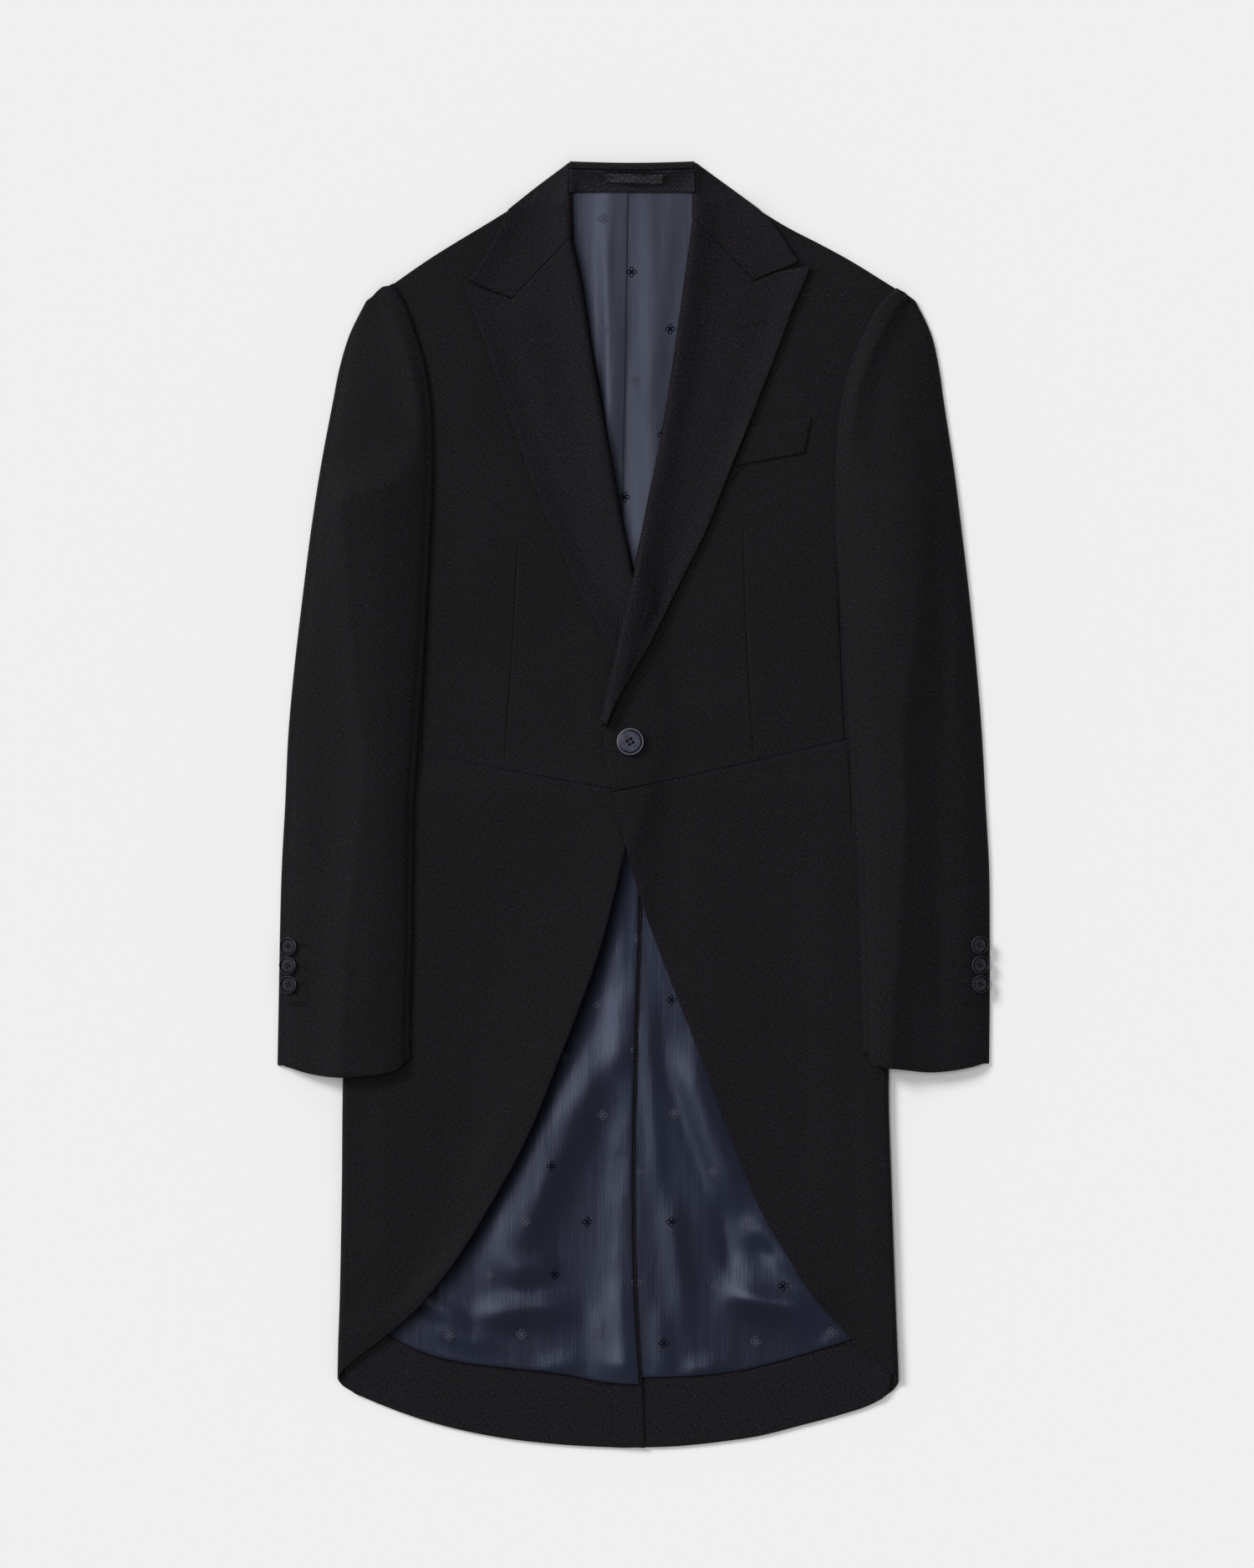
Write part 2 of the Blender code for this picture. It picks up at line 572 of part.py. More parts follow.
def lay_front(coat, side):
    """Forepart, side body and skirt of one side, settled as one cloth. Returns the forepart."""
    s = SIGN[side]
    edges = EDGES[side]
    inner = joined(run([(edges["neck_roll"][1][0], 503), edges["roll"][0]], 2),
                   edge_run(side, "roll", 12), edge_run(side, "roll_end", 1),
                   edge_run(side, "front_edge", 2))
    roll_foot = edges["roll"][-1][1]
    inner[:, 0] += s * ROLL_BACK * smooth((inner[:, 1] - roll_foot + 17) / 16)
    outer = joined(edge_run(side, "armhole", 6), edge_run(side, "side_seam", 11))
    shoulder = edges["shoulder"]
    top = joined(run([tuple(inner[0]), shoulder[0]], 3),
                 run(shoulder[:-1] + [edges["armhole"][0]], 6))
    waist = edge_run(side, "waist", 9)
    forepart = patch(inner, outer, top, waist)

    fold = edge_run(side, "fold", BODY_ROWS)
    arc_start = fold - np.array([s * FOLD_INSET, 0])
    side_waist = run([edges["side_waist"][0], tuple(arc_start[-1])], 3)
    underarm = run(edges["underarm"][:-1] + [tuple(arc_start[0])], 3)
    body = patch(edge_run(side, "side_seam", BODY_ROWS), arc_start, underarm, side_waist)

    skirt_fold = edge_run(side, "skirt_fold", SKIRT_ROWS)
    skirt_arc = skirt_fold - np.array([s * FOLD_INSET, 0])
    cutaway = edge_run(side, "cutaway", SKIRT_ROWS)
    foot = run([tuple(cutaway[-1]), tuple(skirt_arc[-1])], 12)
    skirt = patch(cutaway, skirt_arc, joined(waist, side_waist), foot)

    grids = [level(g, front_bed(side, g)) for g in (forepart, body, skirt)]
    settle(grids, coat.table, reach=2.0 if side == RIGHT else 3.5)
    forepart, body, skirt = grids

    body_base = base_line(side, "fold", BODY_ROWS)
    skirt_base = base_line(side, "skirt_fold", SKIRT_ROWS)
    skirt_base[-1] = edges["hem"][-1]
    coat.slab(f"forepart_{side}", inset(forepart), FRONT_CLOTH, coat.wool)
    body, body_way = side_fold(side, body, fold, body_base)
    coat.cloth(f"side_body_{side}", inset(body, 0.22), body_way, coat.wool)
    skirt, skirt_way = side_fold(side, skirt, skirt_fold, skirt_base)
    coat.cloth(f"skirt_{side}", inset(skirt, 0.22), skirt_way, coat.wool)
    return forepart


def rolled_edge(side, grid, low, wall):
    """Adds a soft roll at a grid's inner edge, down to the cloth below whose underside is low."""
    s = SIGN[side]
    z_top = grid[:, 0, 2]
    under_top = low + wall
    radius = (z_top - under_top) / 2
    centre = np.column_stack([grid[:, 0, :2], z_top - radius])
    points, ways = [], []
    for k in range(ROLL_STEPS, 0, -1):
        angle = math.pi / 2 - math.pi * k / ROLL_STEPS
        way = np.array([-s * math.cos(angle), 0, math.sin(angle)])
        points.append(centre + radius[:, None] * way)
        ways.append(np.tile(way * wall, (len(grid), 1)))
    for j in range(grid.shape[1]):
        points.append(grid[:, j])
        ways.append(np.tile([0, 0, wall], (len(grid), 1)))
    return np.stack(points, axis=1), np.stack(ways, axis=1)


def lay_collar_side(coat, side, forepart):
    """Lapel and collar leaf of one side, settled as one cloth over the forepart."""
    s = SIGN[side]
    shift = np.array([s * ROLL_CENTRE, 0])
    roll = edge_run(side, "roll", 12) + shift
    gorge = edge_run(side, "gorge", 5)
    gorge[0] = roll[0]
    lapel_edge = edge_run(side, "lapel_edge", 12)
    foot = run([tuple(roll[-1]), tuple(lapel_edge[-1])], 9)
    lapel = patch(roll, lapel_edge, joined(gorge, edge_run(side, "peak", 4)), foot)

    neck = edge_run(side, "neck_roll", 6) + shift
    neck[0] = roll[0]
    collar_top = edge_run(side, "collar_top", 9)
    collar_top[0] = neck[-1]
    leaf = patch(neck, edge_run(side, "collar_edge", 6), joined(gorge, edge_run(side, "collar_end", 4)),
                 collar_top)

    grids = []
    for grid, line in ((lapel, roll), (leaf, neck)):
        lift = ROLL_LIFT * (1 - smooth(distance_to(grid, line) / ROLL_LIFT_WIDTH))
        floor = np.array([[coat.table.top(x, y, 2) for x, y in row] for row in grid])
        grids.append(level(grid, floor + LAY_GAP + lift))
    low = forepart[2:15, 0, 2]
    leaf_low = np.interp(np.arange(7), [0, 2], [low[0], FRONT_BED + 0.3])
    for grid, edge_low in zip(grids, (low, leaf_low)):
        grid[:, 0, 2] = np.maximum(grid[:, 0, 2], edge_low + FRONT_CLOTH + LEAST_ROLL)
    settle(grids, coat.table)
    lapel, leaf = grids
    lapel_in, lapel_way = rolled_edge(side, lapel, low, FRONT_CLOTH)
    coat.cloth(f"lapel_{side}", inset(lapel_in), lapel_way, coat.wool)
    leaf_in, leaf_way = rolled_edge(side, leaf, leaf_low, FRONT_CLOTH)
    coat.cloth(f"collar_leaf_{side}", inset(leaf_in), leaf_way, coat.wool)


def lay_neck(coat):
    """Collar stand inside the neck, the collar's fold behind it and the hanger loop."""
    cols = 8
    inner_r = COLLAR_FOLD_HEIGHT - FRONT_CLOTH
    rows, ways = [], []
    xs = np.linspace(*COLLAR_ENDS, cols + 1)
    bow = COLLAR_BOW * np.cos(np.linspace(-math.pi / 2, math.pi / 2, cols + 1))
    rows.append(np.column_stack([xs, np.full(cols + 1, 514.6), np.full(cols + 1, FRONT_CLOTH)]))
    ways.append(np.tile([0, 0, -FRONT_CLOTH], (cols + 1, 1)))
    for k in range(FOLD_STEPS + 1):
        angle = -math.pi / 2 + math.pi * k / FOLD_STEPS
        way = np.array([0, math.cos(angle), math.sin(angle)])
        y = COLLAR_FOLD_LEVEL - bow + inner_r * way[1]
        z = COLLAR_FOLD_HEIGHT + inner_r * way[2]
        rows.append(np.column_stack([xs, y, np.full(cols + 1, z)]))
        ways.append(np.tile(way * FRONT_CLOTH, (cols + 1, 1)))
    coat.cloth("collar_back", np.stack(rows), np.stack(ways), coat.wool)

    top_line = np.column_stack([xs, COLLAR_FOLD_LEVEL - 2.6 - bow])
    low_line = np.column_stack([xs, np.full(cols + 1, STAND_FOOT)])
    sides = [run([tuple(top_line[k]), tuple(low_line[k])], 3) for k in (0, -1)]
    stand = inset(patch(sides[0], sides[1], top_line, low_line), 0.4)
    slope = np.linspace(COLLAR_FOLD_HEIGHT + inner_r, FRONT_BED, 4)[:, None]
    stand = level(stand, slope)
    settle([stand], coat.table, reach=1.5)
    coat.slab("collar_stand", stand, FACING_CLOTH, coat.wool)

    middle = run(LOOP_LINE, 8)
    half = np.array([0, LOOP_WIDTH / 2])
    loop = np.stack([middle + half, middle, middle - half])
    arch = LOOP_ARCH * np.sin(np.linspace(0, math.pi, 9)) ** 2
    loop = level(loop, FRONT_BED + FACING_CLOTH + LAY_GAP)
    settle([loop], coat.table, reach=1.5)
    loop[..., 2] += arch
    coat.slab("hanger_loop", loop, LINING_CLOTH, coat.wool)


def lay_welt(coat):
    """Breast welt on the left forepart."""
    grid = patch(run(WELT["inner"], 3), run(WELT["outer"], 3), run(WELT["top"], 5),
                 run(WELT["bottom"], 5))
    grid = level(grid, 0.0)
    settle([grid], coat.table)
    coat.slab("breast_welt", grid, WELT_CLOTH, coat.wool)


def lay_sleeve(coat, side):
    """Undersleeve on the table and the body's side, and the rounded topsleeve over it."""
    s = SIGN[side]
    outer_pts = [(getattr(r, f"{side}_outer"), r.y) for r in SLEEVE_ROWS]
    inner_pts = [(getattr(r, f"{side}_inner"), r.y) for r in SLEEVE_ROWS]
    head, cuff = SLEEVE_HEAD[side], CUFF[side]
    rows = 13
    inner = run([head[0]] + inner_pts + [cuff[0]], rows)
    outer = run(outer_pts + [cuff[-1]], rows)
    cols = 8
    head_line, cuff_line = run(head, cols), run(cuff, cols)
    head_line[-1] = outer[0]
    full = patch(inner, outer, head_line, cuff_line)

    share = np.tile(np.linspace(0, 1, cols + 1), (rows + 1, 1))
    for i, row in enumerate(full):
        y = row[:, 1].mean()
        edge_x = fold_at(side, y) if y < 250 else np.interp(y, [250, 262, 300, 350, 430],
                                                            [240, 215, 184, 184, 204]) * s
        at = (edge_x - row[0, 0]) / (row[-1, 0] - row[0, 0])
        if 0.25 < at < 0.8:
            width = abs(row[-1, 0] - row[0, 0])
            share[i] = np.concatenate([np.linspace(0, at + 2 / width, 5),
                                       np.linspace(at + 11 / width, 1, 4)])
    line = np.linspace(0, 1, cols + 1)
    placed = np.stack([np.column_stack([np.interp(share[i], line, full[i, :, k]) for k in (0, 1)])
                       for i in range(rows + 1)])
    width = np.linalg.norm(placed[:, -1] - placed[:, 0], axis=1)
    rim = np.minimum(SLEEVE_RIM, 0.22 * width)
    inward = (placed[:, -1] - placed[:, 0]) / width[:, None]
    squeeze = (1 - 2 * rim / width)[:, None]
    middle = (placed[:, 0] + placed[:, -1])[:, None] / 2
    under_xy = middle + (placed - middle) * squeeze[:, None]
    under_xy[0] += (under_xy[1] - under_xy[0]) * 0.12
    under_xy[-1, :, 1] += CUFF_OVERHANG

    under = level(under_xy, 0.0)
    settle([under], coat.table, reach=2.5)
    coat.slab(f"undersleeve_{side}", under, UNDERSLEEVE_CLOTH, coat.wool)

    puff = SLEEVE_PUFF * smooth(np.arange(rows + 1) / 2.5)[:, None]
    rounded = (1 - (2 * share - 1) ** 2) ** 0.8
    over = np.dstack([under_xy, under[..., 2] + UNDERSLEEVE_CLOTH + HEM_PLAY + puff * rounded])
    over[0, :, :2] = middle[0] + (placed[0] - middle[0]) * squeeze[0]
    over[-1, :, 1] -= CUFF_OVERHANG
    points, ways = [over[:, j] for j in range(cols + 1)], []
    ways = [np.tile([0, 0, TOPSLEEVE_CLOTH], (rows + 1, 1)) for _ in range(cols + 1)]
    for first, edge, sign in ((True, placed[:, 0], -1), (False, placed[:, -1], 1)):
        at = over[:, 0 if first else -1]
        rest = under[:, 0 if first else -1, 2]
        ground = np.array([coat.table.top(x, y, 3.5) for x, y in edge + sign * 2 * inward])
        foot = np.where(ground > 0.01, np.maximum(ground + LAY_GAP, rest), 0.0)
        foot = np.minimum(foot, at[:, 2] - 0.8)
        for part, lean in ((0.45, math.radians(42)), (0.97, 0.0)):
            reach = (rim - TOPSLEEVE_CLOTH)[:, None].clip(0.3)
            xy = at[:, :2] + sign * inward * reach * (0.35 + 0.65 * part)
            z = at[:, 2] * (1 - part) + foot * part
            way = np.column_stack([sign * inward * math.cos(lean),
                                   np.full(rows + 1, math.sin(lean))]) * TOPSLEEVE_CLOTH
            point = np.column_stack([xy, z])
            if first:
                points.insert(0, point)
                ways.insert(0, way)
            else:
                points.append(point)
                ways.append(way)
    coat.cloth(f"topsleeve_{side}", np.stack(points, axis=1), np.stack(ways, axis=1), coat.wool)


def button(coat, name, place, sizes, lean=0.0):
    """A four-hole button with a raised rim, turned from its profile and seated on the cloth."""
    radius, height = sizes["diameter"] / 2, sizes["height"]
    profile = [(0.0, height * 0.62), (radius * 0.62, height * 0.62), (radius * 0.76, height),
               (radius * 0.92, height), (radius, height * 0.62), (radius * 0.86, 0.0), (0.0, 0.0)]
    mesh = bpy.data.meshes.new(name)
    mesh.from_pydata([(x * MM, 0, z * MM) for x, z in profile], [(k, k + 1) for k in range(6)], [])
    turned = bpy.data.objects.new(name, mesh)
    mesh.materials.append(coat.horn)
    coat.pieces.objects.link(turned)
    screw = turned.modifiers.new("turn", "SCREW")
    screw.steps = screw.render_steps = sizes["segments"]
    screw.use_merge_vertices = True
    screw.merge_threshold = 0.00001
    screw.use_smooth_shade = False
    lift = 0.0
    for turn in np.linspace(0, 2 * math.pi, 24, endpoint=False):
        for share in (0.0, 0.5, 0.9):
            x = radius * share * math.cos(turn)
            y = radius * share * math.sin(turn)
            top = coat.table.top(place.x + x * math.cos(lean), place.y + y, 1.2)
            lift = max(lift, top + LAY_GAP + x * math.sin(lean))
    turned.location = (place.x * MM, place.y * MM, lift * MM)
    turned.rotation_euler = (0, lean, 0)
    for k in range(sizes["holes"]):
        angle = HOLE_TURN + k * math.pi / 2
        bpy.ops.mesh.primitive_cylinder_add(vertices=8, radius=sizes["diameter"] * BUTTON_HOLE * MM,
                                            depth=height * 4 * MM)
        hole = bpy.context.object
        hole.name = f"{name}_hole_{k + 1}"
        hole.parent = turned
        spacing = sizes["diameter"] * HOLE_SPACING * MM
        hole.location = (spacing * math.cos(angle), spacing * math.sin(angle), 0)
        hole.hide_render = True
        hole.display_type = "WIRE"
        for owner in list(hole.users_collection):
            owner.objects.unlink(hole)
        coat.cutters.objects.link(hole)
        cut = turned.modifiers.new(f"hole_{k + 1}", "BOOLEAN")
        cut.operation = "DIFFERENCE"
        cut.object = hole


def centre(pieces):
    """Moves the pieces so that the middle of their footprint is the origin."""
    bpy.context.view_layer.update()
    graph = bpy.context.evaluated_depsgraph_get()
    corners = []
    for piece in pieces:
        solid = piece.evaluated_get(graph)
        corners += [solid.matrix_world @ Vector(corner) for corner in solid.bound_box]
    for axis in range(2):
        places = [corner[axis] for corner in corners]
        middle = (min(places) + max(places)) / 2
        for piece in pieces:
            piece.location[axis] -= middle


def main():
    """Lays the coat, from the back on the table to the buttons."""
    for thing in list(bpy.data.objects):
        bpy.data.objects.remove(thing, do_unlink=True)
    coat = Coat()
    lay_backs(coat)
    lay_linings(coat)
    right = lay_front(coat, RIGHT)
    lay_collar_side(coat, RIGHT, right)
    left = lay_front(coat, LEFT)
    lay_welt(coat)
    lay_collar_side(coat, LEFT, left)
    lay_neck(coat)
    button(coat, "front_button", FRONT_BUTTON_PLACE, FRONT_BUTTON)
    for side in (RIGHT, LEFT):
        lay_sleeve(coat, side)
        for number, place in enumerate(CUFF_BUTTONS[side], start=1):
            button(coat, f"cuff_button_{side}_{number}", Point(*place), CUFF_BUTTON,
                   SIGN[side] * BUTTON_TILT)
    centre(coat.pieces.objects)


main()
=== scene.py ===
"""Dresses the morning coat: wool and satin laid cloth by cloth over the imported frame.

Plan positions are in millimetres, X to the wearer's left and Y to the collar, as in the coat's
own pattern. They become metres, moved onto the frame's origin, only when a mesh is made.
"""

from __future__ import annotations

import logging
import math
from collections.abc import Sequence
from dataclasses import dataclass, field
from enum import Enum

import bpy
import numpy as np
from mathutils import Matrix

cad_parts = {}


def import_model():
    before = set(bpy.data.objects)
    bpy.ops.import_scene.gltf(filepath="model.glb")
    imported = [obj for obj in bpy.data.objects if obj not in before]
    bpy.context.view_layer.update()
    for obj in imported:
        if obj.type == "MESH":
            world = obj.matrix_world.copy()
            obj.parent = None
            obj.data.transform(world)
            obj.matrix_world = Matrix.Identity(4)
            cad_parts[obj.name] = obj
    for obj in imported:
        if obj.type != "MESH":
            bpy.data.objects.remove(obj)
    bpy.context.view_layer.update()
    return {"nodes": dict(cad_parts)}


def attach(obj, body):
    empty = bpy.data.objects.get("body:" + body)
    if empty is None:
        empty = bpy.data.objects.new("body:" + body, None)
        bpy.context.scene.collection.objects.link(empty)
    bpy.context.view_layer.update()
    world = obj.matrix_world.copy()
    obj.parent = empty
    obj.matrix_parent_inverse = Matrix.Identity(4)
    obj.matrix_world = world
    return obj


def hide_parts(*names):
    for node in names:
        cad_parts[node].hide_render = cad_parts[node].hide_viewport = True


log = logging.getLogger("morning_coat")

MM = 0.001
BODY = "root"
Points = Sequence[tuple[float, float]]
Array = np.ndarray
Socket = bpy.types.NodeSocket
Material = bpy.types.Material


class Side(Enum):
    """The wearer's sides: the right one is at -X."""

    RIGHT = "right"
    LEFT = "left"

    @property
    def sign(self) -> int:
        """-1 on the wearer's right, 1 on the left."""
        return -1 if self is Side.RIGHT else 1


@dataclass(frozen=True)
class Walls:
    """Thickness of each cloth and the room between layers, in millimetres."""

    back: float = 1.5
    lining: float = 1.0
    facing: float = 1.2
    front: float = 2.2
    under_sleeve: float = 2.0
    top_sleeve: float = 2.2
    welt: float = 1.4
    gap: float = 0.3
    seam: float = 0.16


@dataclass(frozen=True)
class Crease:
    """A soft trough or ridge along a line; depth is negative for a trough."""

    x0: float
    y0: float
    x1: float
    y1: float
    width: float
    depth: float
    bow: float = 0.0


@dataclass(frozen=True)
class SideEdges:
    """The outlines of one side's pieces, as points in plan, and its sign along X."""

    sign: int
    shoulder: Points
    armhole: Points
    side_seam: Points
    underarm: Points
    fold: Points
    skirt_fold: Points
    waist: Points
    side_waist: Points
    roll: Points
    roll_end: Points
    front_edge: Points
    cutaway: Points
    lapel_edge: Points
    gorge: Points
    peak: Points
    collar_end: Points
    collar_edge: Points
    collar_top: Points
    neck_roll: Points
    hem: Points
    lining_hem: Points
    sleeve_head: Points
    sleeve_outer: Points
    sleeve_inner: Points
    cuff: Points
    cuff_buttons: Points
    base_inset: float = 14.0

    def line(self, name: str, steps: int) -> Array:
        """One named outline, as a run of even steps."""
        return run(getattr(self, name), steps)

    def fold_at(self, y: Array | float) -> Array:
        """X of the side fold at a height on the coat."""
        points = np.array(list(self.fold) + list(self.skirt_fold[1:]))[::-1]
        return np.interp(y, points[:, 1], points[:, 0])

    def base_line(self, name: str, steps: int) -> Array:
        """Where the cloth that comes round the side meets the back, on the underside.

        Args:
            name: the fold that it belongs to.
            steps: how many steps it is parted into.

        Returns:
            The line's points in plan.
        """
        line = self.line(name, steps)
        line[:, 0] -= self.sign * self.base_inset
        return line


WALL = Walls()
CENTRE_SEAM = -8.0
WAIST_LEVEL = 12.0
LINING_BED = WALL.back + WALL.gap
FRONT_BED = LINING_BED + WALL.lining + WALL.gap

EDGES = {
    Side.RIGHT: SideEdges(
        sign=-1,
        shoulder=[(-104.5, 496.0), (-124, 484), (-146.5, 470.5), (-169, 456.5), (-200.5, 435)],
        armhole=[(-203, 433), (-195, 412), (-187, 388), (-180, 362), (-176, 335), (-172.5, 290)],
        side_seam=[(-172.5, 290), (-171, 220), (-173, 150), (-175.5, 95), (-177, 41)],
        underarm=[(-172.5, 290), (-186, 276), (-210, 260), (-238, 254)],
        fold=[(-242, 254), (-233.5, 140.5), (-223.5, 47)],
        skirt_fold=[(-223.5, 47), (-228, -27.5), (-236, -97.5), (-243, -230.5), (-244, -321.5),
                    (-245.5, -405.5), (-247.5, -475.5)],
        waist=[(12, 9), (-18.5, 12.5), (-100, 27), (-177, 41)],
        side_waist=[(-177, 41), (-219.5, 47)],
        roll=[(-51.5, 470.5), (-45, 441.5), (-35.5, 382), (-21.5, 302), (-13, 255), (-0.5, 188),
              (2.5, 172)],
        roll_end=[(2.5, 172), (14, 100), (20, 62)],
        front_edge=[(20, 62), (16.5, 39), (12, 9)],
        cutaway=[(12, 9), (-6, -38), (-16.5, -81), (-29.5, -128.5), (-45.5, -173), (-61.5, -214),
                 (-91.5, -286), (-118, -334), (-148, -382), (-181, -423), (-207.5, -446),
                 (-230.5, -463), (-239, -471)],
        lapel_edge=[(-143, 436.5), (-135.5, 416), (-120, 373), (-104.5, 326.5), (-86.5, 275),
                    (-61, 213), (-43, 172.5), (-25, 140.5), (-12, 118)],
        gorge=[(-51.5, 470.5), (-102, 421.5)],
        peak=[(-102, 421.5), (-124, 429.5), (-143, 436.5)],
        collar_end=[(-102, 422.5), (-123, 430.5), (-137.5, 437.5)],
        collar_edge=[(-137.5, 437.5), (-128.5, 450), (-110, 484.5), (-104.5, 496.5)],
        collar_top=[(-54, 535.5), (-79.5, 517), (-104.5, 496.5)],
        neck_roll=[(-51.5, 470.5), (-53.5, 511.5), (-54, 535.5)],
        hem=[(CENTRE_SEAM, -539.5), (-57, -537), (-107.5, -531.5), (-137.5, -526), (-179, -515),
             (-210.5, -503.5), (-233, -494)],
        lining_hem=[(5, -486), (-25.5, -484), (-58.5, -477.5), (-108, -472), (-141.5, -468),
                    (-174.5, -460), (-204.5, -446), (-222, -439)],
        sleeve_head=[(-200.5, 435), (-207.5, 434), (-223.5, 420.5)],
        sleeve_outer=[(-223.5, 420.5), (-237.5, 392.5), (-246, 364.5), (-251.5, 336.5),
                      (-262, 280.5), (-270.5, 224.5), (-277.5, 168.5), (-284, 112.5),
                      (-289, 56.5), (-291.5, 0.5), (-294.5, -55.5), (-296, -111.5),
                      (-297, -167.5), (-298, -218)],
        sleeve_inner=[(-200.5, 435), (-191.5, 420.5), (-181, 392.5), (-173, 364.5),
                      (-169, 336.5), (-167, 280.5), (-169, 224.5), (-172, 168.5),
                      (-175, 112.5), (-179, 56.5), (-182.5, 0.5), (-183.5, -55.5),
                      (-184, -111.5), (-185.5, -167.5), (-186, -213)],
        cuff=[(-186, -213), (-189.5, -219), (-199, -223.5), (-220, -227), (-242, -228.5),
              (-256, -228), (-272.5, -225.5), (-298, -218)],
        cuff_buttons=[(-288, -119.5), (-288.5, -135.5), (-288, -151.5)],
    ),
    Side.LEFT: SideEdges(
        sign=1,
        shoulder=[(105.5, 496.0), (130.5, 481), (153, 469.5), (175.5, 457.5), (220, 431)],
        armhole=[(222, 429), (208, 407), (198, 388), (189, 364), (181, 335), (174.5, 290)],
        side_seam=[(174.5, 290), (171, 220), (172.5, 160), (174.5, 105.5), (177, 53)],
        underarm=[(174.5, 290), (186, 276), (210, 260), (238, 254)],
        fold=[(242, 254), (233.5, 140.5), (223.5, 63)],
        skirt_fold=[(223.5, 63), (225, -27.5), (221, -97.5), (213.5, -230.5), (216, -321.5),
                    (219, -405.5), (222, -478)],
        waist=[(-17, 9.5), (20, 17), (101, 35), (177, 53)],
        side_waist=[(177, 53), (219.5, 63)],
        roll=[(49.5, 487), (42, 433), (35.5, 386), (21.5, 298), (12, 253), (-0.5, 188),
              (-7.5, 158), (-15, 120.5), (-25, 66)],
        roll_end=[(-25, 66), (-25.5, 62)],
        front_edge=[(-25.5, 62), (-23.5, 39), (-17, 9.5)],
        cutaway=[(-17, 9.5), (-6, -38), (4.5, -76), (26, -135.5), (56.5, -213), (87, -293.5),
                 (107, -342), (127, -375.5), (145, -405), (163.5, -428), (184, -449.5),
                 (202, -464.5), (214, -474)],
        lapel_edge=[(149, 449.5), (135.5, 417.5), (120, 376), (102, 330), (80, 275), (60, 225),
                    (38.5, 182.5), (15.5, 136), (0, 109.5), (-14.5, 84), (-22, 66)],
        gorge=[(49.5, 487), (101.5, 436.5)],
        peak=[(101.5, 436.5), (124, 445), (149, 449.5)],
        collar_end=[(101.5, 437.5), (120.5, 445), (138.5, 452.5)],
        collar_edge=[(138.5, 452.5), (129, 467), (118.5, 482.5), (105.5, 496.5)],
        collar_top=[(52.5, 535.5), (80, 516), (105.5, 496.5)],
        neck_roll=[(49.5, 487), (51, 511.5), (52.5, 535.5)],
        hem=[(CENTRE_SEAM, -539.5), (38, -538), (72, -534.5), (105.5, -529.5), (139, -521),
             (172.5, -512), (198, -503.5), (208.5, -498)],
        lining_hem=[(CENTRE_SEAM, -481), (57.5, -478.5), (90.5, -474.5), (123.5, -466.5),
                    (157, -456.5), (181.5, -448.5), (198, -440)],
        sleeve_head=[(220, 431), (226, 428), (236, 420.5)],
        sleeve_outer=[(236, 420.5), (249.5, 392.5), (256, 364.5), (260, 336.5), (268.5, 280.5),
                      (275.5, 224.5), (282, 168.5), (287.5, 112.5), (292, 56.5), (295, 0.5),
                      (298, -55.5), (298.5, -111.5), (298.5, -167.5), (298, -216.5)],
        sleeve_inner=[(220, 431), (208, 420.5), (191.5, 392.5), (180, 364.5), (173, 336.5),
                      (168, 280.5), (168.5, 224.5), (172, 168.5), (175.5, 112.5), (179, 56.5),
                      (184, 0.5), (186.5, -55.5), (188.5, -111.5), (190, -167.5), (191, -207.5)],
        cuff=[(191, -207.5), (193.5, -214.5), (205, -219.5), (223, -222), (250, -224.5),
              (264, -223.5), (287.5, -219.5), (298, -216.5)],
        cuff_buttons=[(289, -118.5), (289.5, -135), (290, -151)],
    ),
}
VENT_EDGE = [(7.5, -20), (7.5, -90.5), (4, -202.5), (2, -335.5), (4, -419.5), (8, -489.5),
             (9.5, -539.5)]
LINING_PLEAT = [(-4, 514), (-6.5, 371.5), (-9, 224.5), (-7.5, WAIST_LEVEL)]

FRONT_BUTTON = (-2.5, 51.5)
TAIL_BED = {Side.RIGHT: LINING_BED + 2.9, Side.LEFT: LINING_BED + 1.6}
CUTAWAY_STAND = {Side.RIGHT: 7.0, Side.LEFT: 1.0}
FACING_CORNER = {Side.RIGHT: [(-239, -437), (-241.8, -462), (-241.5, -478), (-238.5, -489)],
                 Side.LEFT: [(213, -437), (216.2, -462), (216.5, -480), (213.5, -492)]}
DARTS = {Side.RIGHT: [(-96, 221), (-101, 130), (-107.5, 35.5)],
         Side.LEFT: [(92, 231.5), (95, 140.5), (101, 40)]}
SKIRT_SEAMS = {Side.RIGHT: None, Side.LEFT: [(180, 48), (182.5, 0), (183, -25)]}



def creases(*rows: tuple[float, ...]) -> list[Crease]:
    """Creases from rows of their numbers."""
    return [Crease(*row) for row in rows]


